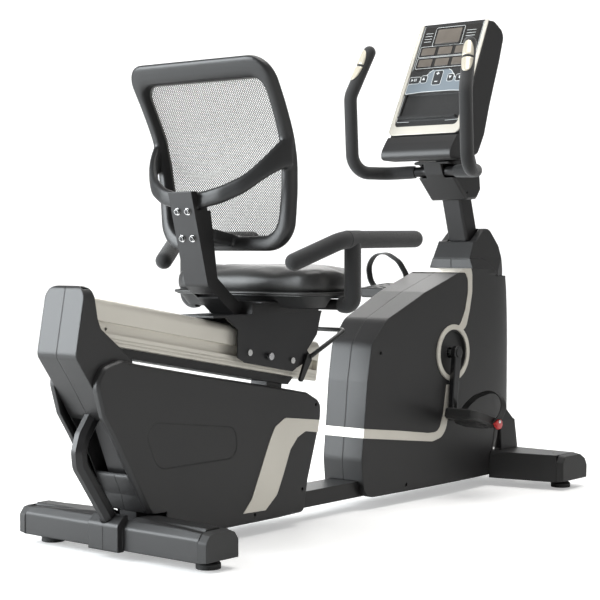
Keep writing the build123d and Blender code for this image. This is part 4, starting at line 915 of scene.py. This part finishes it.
# loose end, offsets from where it hangs: x, outward, z
TAIL_LINE = [(-1, 4, -14), (-6, 4, -36), (-14, 2.5, -70)]
PEDAL_OUTER = 212


def pedal_strap(sign, side):
    body = f"pedal_{side}_body"
    axle_x = CRANK_X + sign * CRANK_RADIUS * math.sin(CRANK_LEAN)
    axle_z = CRANK_Z + sign * CRANK_RADIUS * math.cos(CRANK_LEAN)
    cos_tilt, sin_tilt = math.cos(PEDAL_TILT[sign]), math.sin(PEDAL_TILT[sign])

    def at(dx, out, dz):
        """Point on the tilted pedal, measured from its axle."""
        x = axle_x + dx * cos_tilt + dz * sin_tilt
        return mm(x, sign * out, axle_z - dx * sin_tilt + dz * cos_tilt)

    path = fillet_path([at(STRAP_FORWARD, y, z) for y, z in STRAP_LINE[sign]], 0.045, 0.003)
    wide = (at(1, 150, 0) - at(0, 150, 0)).normalized()
    parts = [strip("band", path, 0.025, 0.0032, wide)]
    for offset in STRAP_RIBS:
        rib_path = [p + wide * (offset * MM) for p in path]
        parts.append(strip("rib", rib_path, 0.0016, 0.0046, wide))
    loop = [at(STRAP_FORWARD, y, z) for y, z in STRAP_LOOP]
    parts.append(strip("loop", loop, 0.027, 0.004, wide))
    strap = join(f"pedal_strap_band_{side}", parts)
    fit(strap, "strap_rubber", body, f"pedal_strap_{side}")

    # loose end hangs from the adjuster and narrows downwards
    top = at(26, PEDAL_OUTER + 0.5, -8)
    fall = fillet_path([top] + [top + mm(x, sign * y, z) for x, y, z in TAIL_LINE], 0.02, 0.003)
    widths = [0.018 - 0.006 * i / (len(fall) - 1) for i in range(len(fall))]
    tail = strip(f"pedal_strap_tail_{side}", fall, widths, 0.003, Vector((1, 0, 0.1)))
    fit(tail, "strap_rubber", body)

    def on_adjuster(u, v, w):
        return at(31 + u, PEDAL_OUTER + w, -8 + v)

    def on_screw(u, v, w):
        return at(26 + u, PEDAL_OUTER + w, -2 + v)

    rivet_centre = fall[-1] + mm(0.5, 0, 6)

    def on_tail(u, v, w):
        return rivet_centre + mm(u, sign * w, v)

    knob = plate(
        f"strap_adjuster_{side}", disc(14, 64, ripple=0.04), on_adjuster, 0.5, 14.0, bevel=3.0)
    fit(knob, "red_button", body)
    screw = plate("screw", disc(5.0, 28), on_screw, 13.5, 16.2, bevel=1.2)
    rivet = plate("rivet", disc(3.6, 20), on_tail, 0.8, 3.4, bevel=0.9)
    fit(join(f"strap_rivets_{side}", [screw, rivet]), "bolt_steel", body)


# ------------------------------------------------------------------ back rest screws
CHANNEL_RUN, CHANNEL_RISE = 50, 191  # slope of the channel's rear face, in x and z
CHANNEL_X, CHANNEL_TOP_Z = -484, 776  # a point on that face


def back_screw_heads():
    """Dark button heads over the bright washers of the back's screws."""
    normal = Vector((-CHANNEL_RISE, 0, -CHANNEL_RUN)).normalized()
    up = Vector((-CHANNEL_RUN, 0, CHANNEL_RISE)).normalized()
    heads = []
    for z in (755.0, 694.0):
        for y in (-16, 16):
            x = CHANNEL_X + (CHANNEL_TOP_Z - z) * CHANNEL_RUN / CHANNEL_RISE
            centre = Vector((x, y, z))

            def on_channel(u, v, w):
                return (centre + Vector((0, u, 0)) + up * v + normal * w) * MM

            heads.append(plate("head", disc(6.4, 36), on_channel, 1.66, 6.3, bevel=1.8))
            heads.append(plate("hexagon", disc(2.8, 6), on_channel, 6.2, 6.45))
    fit(join("back_screw_heads", heads), "screw_dark", "seat")


# ------------------------------------------------------------------ console
# u runs to the rider's right, v up the face, w out of it towards the rider
CONSOLE_ORIGIN = Vector((466.0, 0.0, 984.0))
CONSOLE_UP = Vector((0.438, 0.0, 0.899))
CONSOLE_NORMAL = Vector((-0.899, 0.0, 0.438))
# u, v, corner radius
KEYPAD = outline([
    (-101, 125, 4), (-50, 129, 80), (50, 129, 80), (101, 125, 4), (101, 156, 6), (56, 166, 22),
    (36, 192, 12), (24, 199, 8), (-24, 199, 8), (-36, 192, 12), (-56, 166, 22), (-101, 156, 6),
], 2)
# centre u, centre v, width, height
KEYS = [
    (-82.0, 168.0, 34.0, 18.0),  # mode
    (-50.0, 170.0, 17.0, 20.0),  # up
    (-6.0, 172.0, 26.0, 42.0),  # plus and minus
    (38.0, 170.0, 17.0, 20.0),  # down
    (74.0, 168.0, 34.0, 18.0),  # start
]
READOUT_U = -6
READOUT_PITCH = 56
READOUT_ROWS = (259, 222)  # v of their centres
SCREEN_U, SCREEN_V = -8, 306
# heights of prints: on the key field, on the panel and on the window
FIELD_PRINT, PANEL_PRINT, WINDOW_PRINT = 0.55, 0.25, 1.35
# marks on the keys: name, body, outlines in u and v
KEY_MARKS = [
    ("key_up_arrow", "key_up_body", [[(-55, 166), (-45, 166), (-50, 175)]]),
    ("key_down_arrow", "key_down_body", [[(33, 174), (38, 165), (43, 174)]]),
    ("key_plus_minus_marks", "key_plus_minus_body", [
        [(-11, 183), (-7.4, 183), (-7.4, 179.5), (-4.6, 179.5), (-4.6, 183), (-1, 183),
         (-1, 185.8), (-4.6, 185.8), (-4.6, 189.3), (-7.4, 189.3), (-7.4, 185.8), (-11, 185.8)],
        [(-11, 157.5), (-1, 157.5), (-1, 160.3), (-11, 160.3)],
    ]),
    ("key_mode_mark", "key_mode_body", [
        [(-91, 163.5), (-91, 172.5), (-84, 168)],
        [(-81, 163.5), (-78.5, 163.5), (-78.5, 172.5), (-81, 172.5)],
        [(-76, 163.5), (-73.5, 163.5), (-73.5, 172.5), (-76, 172.5)],
    ]),
    ("key_start_mark", "key_start_body", [rounded_box(74, 168, 12, 9, 2)]),
]


def on_console(u, v, w):
    return (CONSOLE_ORIGIN + CONSOLE_UP * v + CONSOLE_NORMAL * w + Vector((0, -u, 0))) * MM


def console_line(points, width, height, thick=0.35, closed=False):
    path = [on_console(u, v, height) for u, v in points]
    sides = [t.cross(CONSOLE_NORMAL).normalized() for t in tangents(path, closed)]
    return strip("line", path, width * MM, thick * MM, sides, closed=closed, edge=0.5)


def console_print_lines():
    def box(points, width, height, thick=0.35):
        return console_line(points, width, height, thick, closed=True)

    lines = [box(KEYPAD, 1.8, FIELD_PRINT, 0.5)]
    for u, v, width, height in KEYS:
        frame_box = rounded_box(u, v, width + 4, height + 4, 5.5)
        lines.append(box(frame_box, 1.4, FIELD_PRINT, 0.5))
    for v in READOUT_ROWS:
        lines.append(box(rounded_box(READOUT_U, v, 172, 34, 4), 1.1, WINDOW_PRINT))
    lines.append(box(rounded_box(SCREEN_U, SCREEN_V, 96, 60, 5), 1.1, WINDOW_PRINT))
    # long lines up both sides, then hooked ones below the keys
    for s in (-1, 1):
        upper = [(s * 99, 200), (s * 97.5, 344)]
        lines.append(console_line(upper, 1.2, PANEL_PRINT, 0.4))
    for s in (-1, 1):
        lower = [(s * 101, 120), (s * 103, 40), (s * 100, 36), (s * 60, 35)]
        lines.append(console_line(lower, 1.2, PANEL_PRINT, 0.4))
    for k in range(5):
        dash = [(-72 + 14 * k, 199), (-64 + 14 * k, 199)]
        lines.append(console_line(dash, 1.6, PANEL_PRINT, 0.4))
    # short rows on either side of the screen
    for k in range(4):
        v = 292 + 9 * k
        for start, end in ((-88, -64), (50, 80)):
            lines.append(console_line([(start, v), (end, v)], 1.2, WINDOW_PRINT))
    fit(join("console_print_lines", lines), "white_print", ROOT)


def console_panes():
    boxes = [rounded_box(SCREEN_U, SCREEN_V, 80, 46, 2.5)]
    for v in READOUT_ROWS:
        for k in (-1, 0, 1):
            boxes.append(rounded_box(READOUT_U + k * READOUT_PITCH, v, 45, 23, 2))
    panes = [plate("pane", box, on_console, 1.9, 2.35, bevel=0.2) for box in boxes]
    fit(join("console_lcd_panes", panes), "lcd_brown", ROOT)


def console_trim_ribs():
    """Slanted ribs along both sides of the trim."""
    ribs = []
    for s in (-1, 1):
        for k in range(74):
            v = 36 + 4.1 * k
            u = s * (110.3 - 0.0145 * v)
            points = [(u - 3.8, v), (u + 3.8, v + 1.6), (u + 3.8, v + 3.4), (u - 3.8, v + 1.8)]
            ribs.append(plate("rib", points, on_console, 2.8, 3.35, bevel=0.25))
    fit(join("console_trim_ribs", ribs), "champagne_trim", ROOT)


def console():
    fit(plate("keypad_field", KEYPAD, on_console, -0.3, 0.45), "grey_print", ROOT)
    console_print_lines()
    console_panes()
    for name, body, shapes in KEY_MARKS:
        marks = [plate("mark", points, on_console, 2.9, 3.25) for points in shapes]
        fit(join(name, marks), "white_print", body)
    console_trim_ribs()


# ------------------------------------------------------------------ pulse sensor plates
PULSE_CELLS = 14  # along and around
PULSE_INNER, PULSE_EDGE, PULSE_OUTER = 0.0181, 0.0187, 0.0196  # radii about the bar
PULSE_HALF_ANGLE = math.radians(58)
# start and end as shares of the bar's last straight, whether it narrows at the start
PULSE_SPANS = [(0.30, 0.62, True), (0.67, 0.99, False)]


def pulse_plate(sign, start, end, narrow_start):
    """Curved plate on the side of the bar that faces back and outward."""
    low, high = handlebar_corners(sign)[-2:]
    axis = (high - low).normalized()
    face = Vector((-0.94, sign * 0.34, 0))
    face = (face - axis * face.dot(axis)).normalized()
    side = axis.cross(face).normalized()
    length = (high - low).length
    n = PULSE_CELLS
    verts = []
    for layer in (0, 1):
        for i in range(n + 1):
            share = i / n
            ease = share if narrow_start else 1 - share
            half = PULSE_HALF_ANGLE * math.sqrt(max(0.0, 1 - (1 - ease) ** 2.2))
            half = max(half, 0.02)
            centre = low + axis * (length * (start + (end - start) * share))
            for j in range(n + 1):
                turn = half * (2 * j / n - 1)
                if layer == 0:
                    radius = PULSE_INNER
                elif 0 < j < n and 0 < i < n:
                    radius = PULSE_OUTER
                else:
                    radius = PULSE_EDGE
                verts.append(centre + (face * math.cos(turn) + side * math.sin(turn)) * radius)

    def at(layer, i, j):
        return (layer * (n + 1) + i) * (n + 1) + j

    faces = []
    for i in range(n):
        for j in range(n):
            faces.append((at(1, i, j), at(1, i, j + 1), at(1, i + 1, j + 1), at(1, i + 1, j)))
            faces.append((at(0, i, j), at(0, i + 1, j), at(0, i + 1, j + 1), at(0, i, j + 1)))
    for i in range(n):
        faces.append((at(0, i, 0), at(1, i, 0), at(1, i + 1, 0), at(0, i + 1, 0)))
        faces.append((at(0, i, n), at(0, i + 1, n), at(1, i + 1, n), at(1, i, n)))
    for j in range(n):
        faces.append((at(0, 0, j), at(0, 0, j + 1), at(1, 0, j + 1), at(1, 0, j)))
        faces.append((at(0, n, j), at(1, n, j), at(1, n, j + 1), at(0, n, j + 1)))
    return mesh_object("pulse_plate", verts, faces)


def pulse_plates():
    plates = [pulse_plate(sign, *span) for sign, _ in SIDES for span in PULSE_SPANS]
    fit(join("pulse_plates", plates), "pulse_plate", ROOT, "pulse_sensors")


# ------------------------------------------------------------------ floor, light, camera
CAMERA_HEADING = math.radians(39.5865)  # from +X towards +Y
CAMERA_DROP = math.radians(2.089)  # below level
CAMERA_PLACE = (-3.0899, -2.5044, 0.6856)
# studio floor in metres: near and far ends along the heading, sweep, wall, half width
FLOOR_NEAR, FLOOR_FAR, SWEEP_RADIUS, WALL_TOP, FLOOR_HALF = -9.0, 5.0, 1.6, 7.0, 11.0
FLOOR_DROP = 0.0005

LIGHTS = [
    dict(name="key", place=(-3.4, 2.5, 1.7), target=(-0.1, 0, 0.55), size=(2.8, 2.8),
         power=330, color=(0.92, 0.97, 1.0)),
    dict(name="top", place=(0.2, -0.4, 3.8), target=(0, 0, 0.5), size=(3.0, 2.4),
         power=110, color=(1.0, 0.99, 0.97)),
    dict(name="fill", place=(1.4, -3.9, 1.4), target=(0, 0, 0.5), size=(2.4, 1.8),
         power=12, color=(1.0, 0.98, 0.94)),
    dict(name="back", place=(3.2, 2.4, 2.6), target=(0, 0, 0.7), size=(2.0, 2.0),
         power=45, color=(1.0, 0.99, 0.97)),
    dict(name="wash", place=(3.0, 2.5, 4.6), target=(6.3, 5.2, 1.6), size=(3.0, 3.0),
         power=48, color=(1, 1, 1)),
]


def studio_paper():
    """White paper with a glow that only the camera sees."""
    paper = material(
        "studio_paper", color=(0.86, 0.86, 0.855), rough=0.75, vary=0.006, vary_scale=0.7,
        grain=120, bump=0.02, bevel=0)
    nodes, link = paper.node_tree.nodes, paper.node_tree.links.new
    glow = nodes.new("ShaderNodeEmission")
    rays = nodes.new("ShaderNodeLightPath")
    gain = nodes.new("ShaderNodeMath")
    gain.operation = "MULTIPLY"
    gain.inputs[1].default_value = 0.36  # strength of the glow
    both = nodes.new("ShaderNodeAddShader")
    link(rays.outputs["Is Camera Ray"], gain.inputs[0])
    link(gain.outputs[0], glow.inputs["Strength"])
    link(nodes["Principled BSDF"].outputs["BSDF"], both.inputs[0])
    link(glow.outputs[0], both.inputs[1])
    link(both.outputs[0], nodes["Material Output"].inputs["Surface"])
    return paper


def studio_floor():
    """Floor that sweeps up into a wall ahead of the camera."""
    profile = [(FLOOR_NEAR, 0.0), (FLOOR_FAR, 0.0)]  # distance, height
    for k in range(1, 13):
        turn = math.pi / 2 * k / 12
        profile.append((
            FLOOR_FAR + SWEEP_RADIUS * math.sin(turn), SWEEP_RADIUS * (1 - math.cos(turn))))
    profile.append((FLOOR_FAR + SWEEP_RADIUS, WALL_TOP))
    cos_heading, sin_heading = math.cos(CAMERA_HEADING), math.sin(CAMERA_HEADING)
    bm = bmesh.new()
    rows = []
    for distance, height in profile:
        row = []
        for across in (-FLOOR_HALF, FLOOR_HALF):
            x = distance * cos_heading - across * sin_heading
            y = distance * sin_heading + across * cos_heading
            row.append(bm.verts.new((x, y, height - FLOOR_DROP)))
        rows.append(row)
    for a, b in zip(rows, rows[1:]):
        bm.faces.new((a[0], b[0], b[1], a[1]))
    floor = bmesh_object("studio_floor", bm)
    shade_smooth(floor)
    floor.data.materials.append(studio_paper())
    floor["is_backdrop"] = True


def studio_world():
    """The bike is lit by a dim sky, the camera sees a plain white one."""
    world = bpy.data.worlds.new("studio")
    bpy.context.scene.world = world
    world.use_nodes = True
    nodes, link = world.node_tree.nodes, world.node_tree.links.new
    sky = nodes["Background"]
    seen = nodes.new("ShaderNodeBackground")
    for background, strength in ((sky, 0.33), (seen, 1.0)):
        background.inputs["Color"].default_value = (1.0, 1.0, 1.0, 1)
        background.inputs["Strength"].default_value = strength
    rays = nodes.new("ShaderNodeLightPath")
    pick = nodes.new("ShaderNodeMixShader")
    link(rays.outputs["Is Camera Ray"], pick.inputs[0])
    link(sky.outputs[0], pick.inputs[1])
    link(seen.outputs[0], pick.inputs[2])
    link(pick.outputs[0], nodes["World Output"].inputs["Surface"])


def aim(ob, direction):
    ob.rotation_euler = Vector(direction).to_track_quat("-Z", "Y").to_euler()


def area_light(name, place, target, size, power, color):
    light = bpy.data.lights.new(name, "AREA")
    light.shape = "RECTANGLE"
    light.size, light.size_y = size
    light.energy = power
    light.color = color
    ob = link_object(name, light)
    ob.location = place
    aim(ob, Vector(target) - Vector(place))


def camera():
    lens = bpy.data.cameras.new("camera")
    lens.sensor_width = 36.0
    lens.lens = 95.23
    ob = link_object("camera", lens)
    ob.location = CAMERA_PLACE
    level = math.cos(CAMERA_DROP)
    aim(ob, (
        math.cos(CAMERA_HEADING) * level,
        math.sin(CAMERA_HEADING) * level,
        -math.sin(CAMERA_DROP),
    ))
    bpy.context.scene.camera = ob


# ------------------------------------------------------------------ build
dress_frame()
for sign, side in SIDES:
    handlebar_grip(sign, side)
armrest_foam()
seat_cushion()
back_frame()
back_net()
for sign, side in SIDES:
    pedal_strap(sign, side)
back_screw_heads()
console()
pulse_plates()
studio_floor()
studio_world()
for light in LIGHTS:
    area_light(**light)
camera()
bpy.context.scene.view_settings.view_transform = "Standard"

end_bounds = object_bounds()


def plain(b):
    """Bounds as plain numbers, lists and dicts."""
    if isinstance(b, dict):
        return {k: plain(v) for k, v in b.items()}
    if isinstance(b, (int, float)):
        return float(b)
    return [plain(v) for v in list(b)]


{"start": plain(start_bounds), "end": plain(end_bounds)}
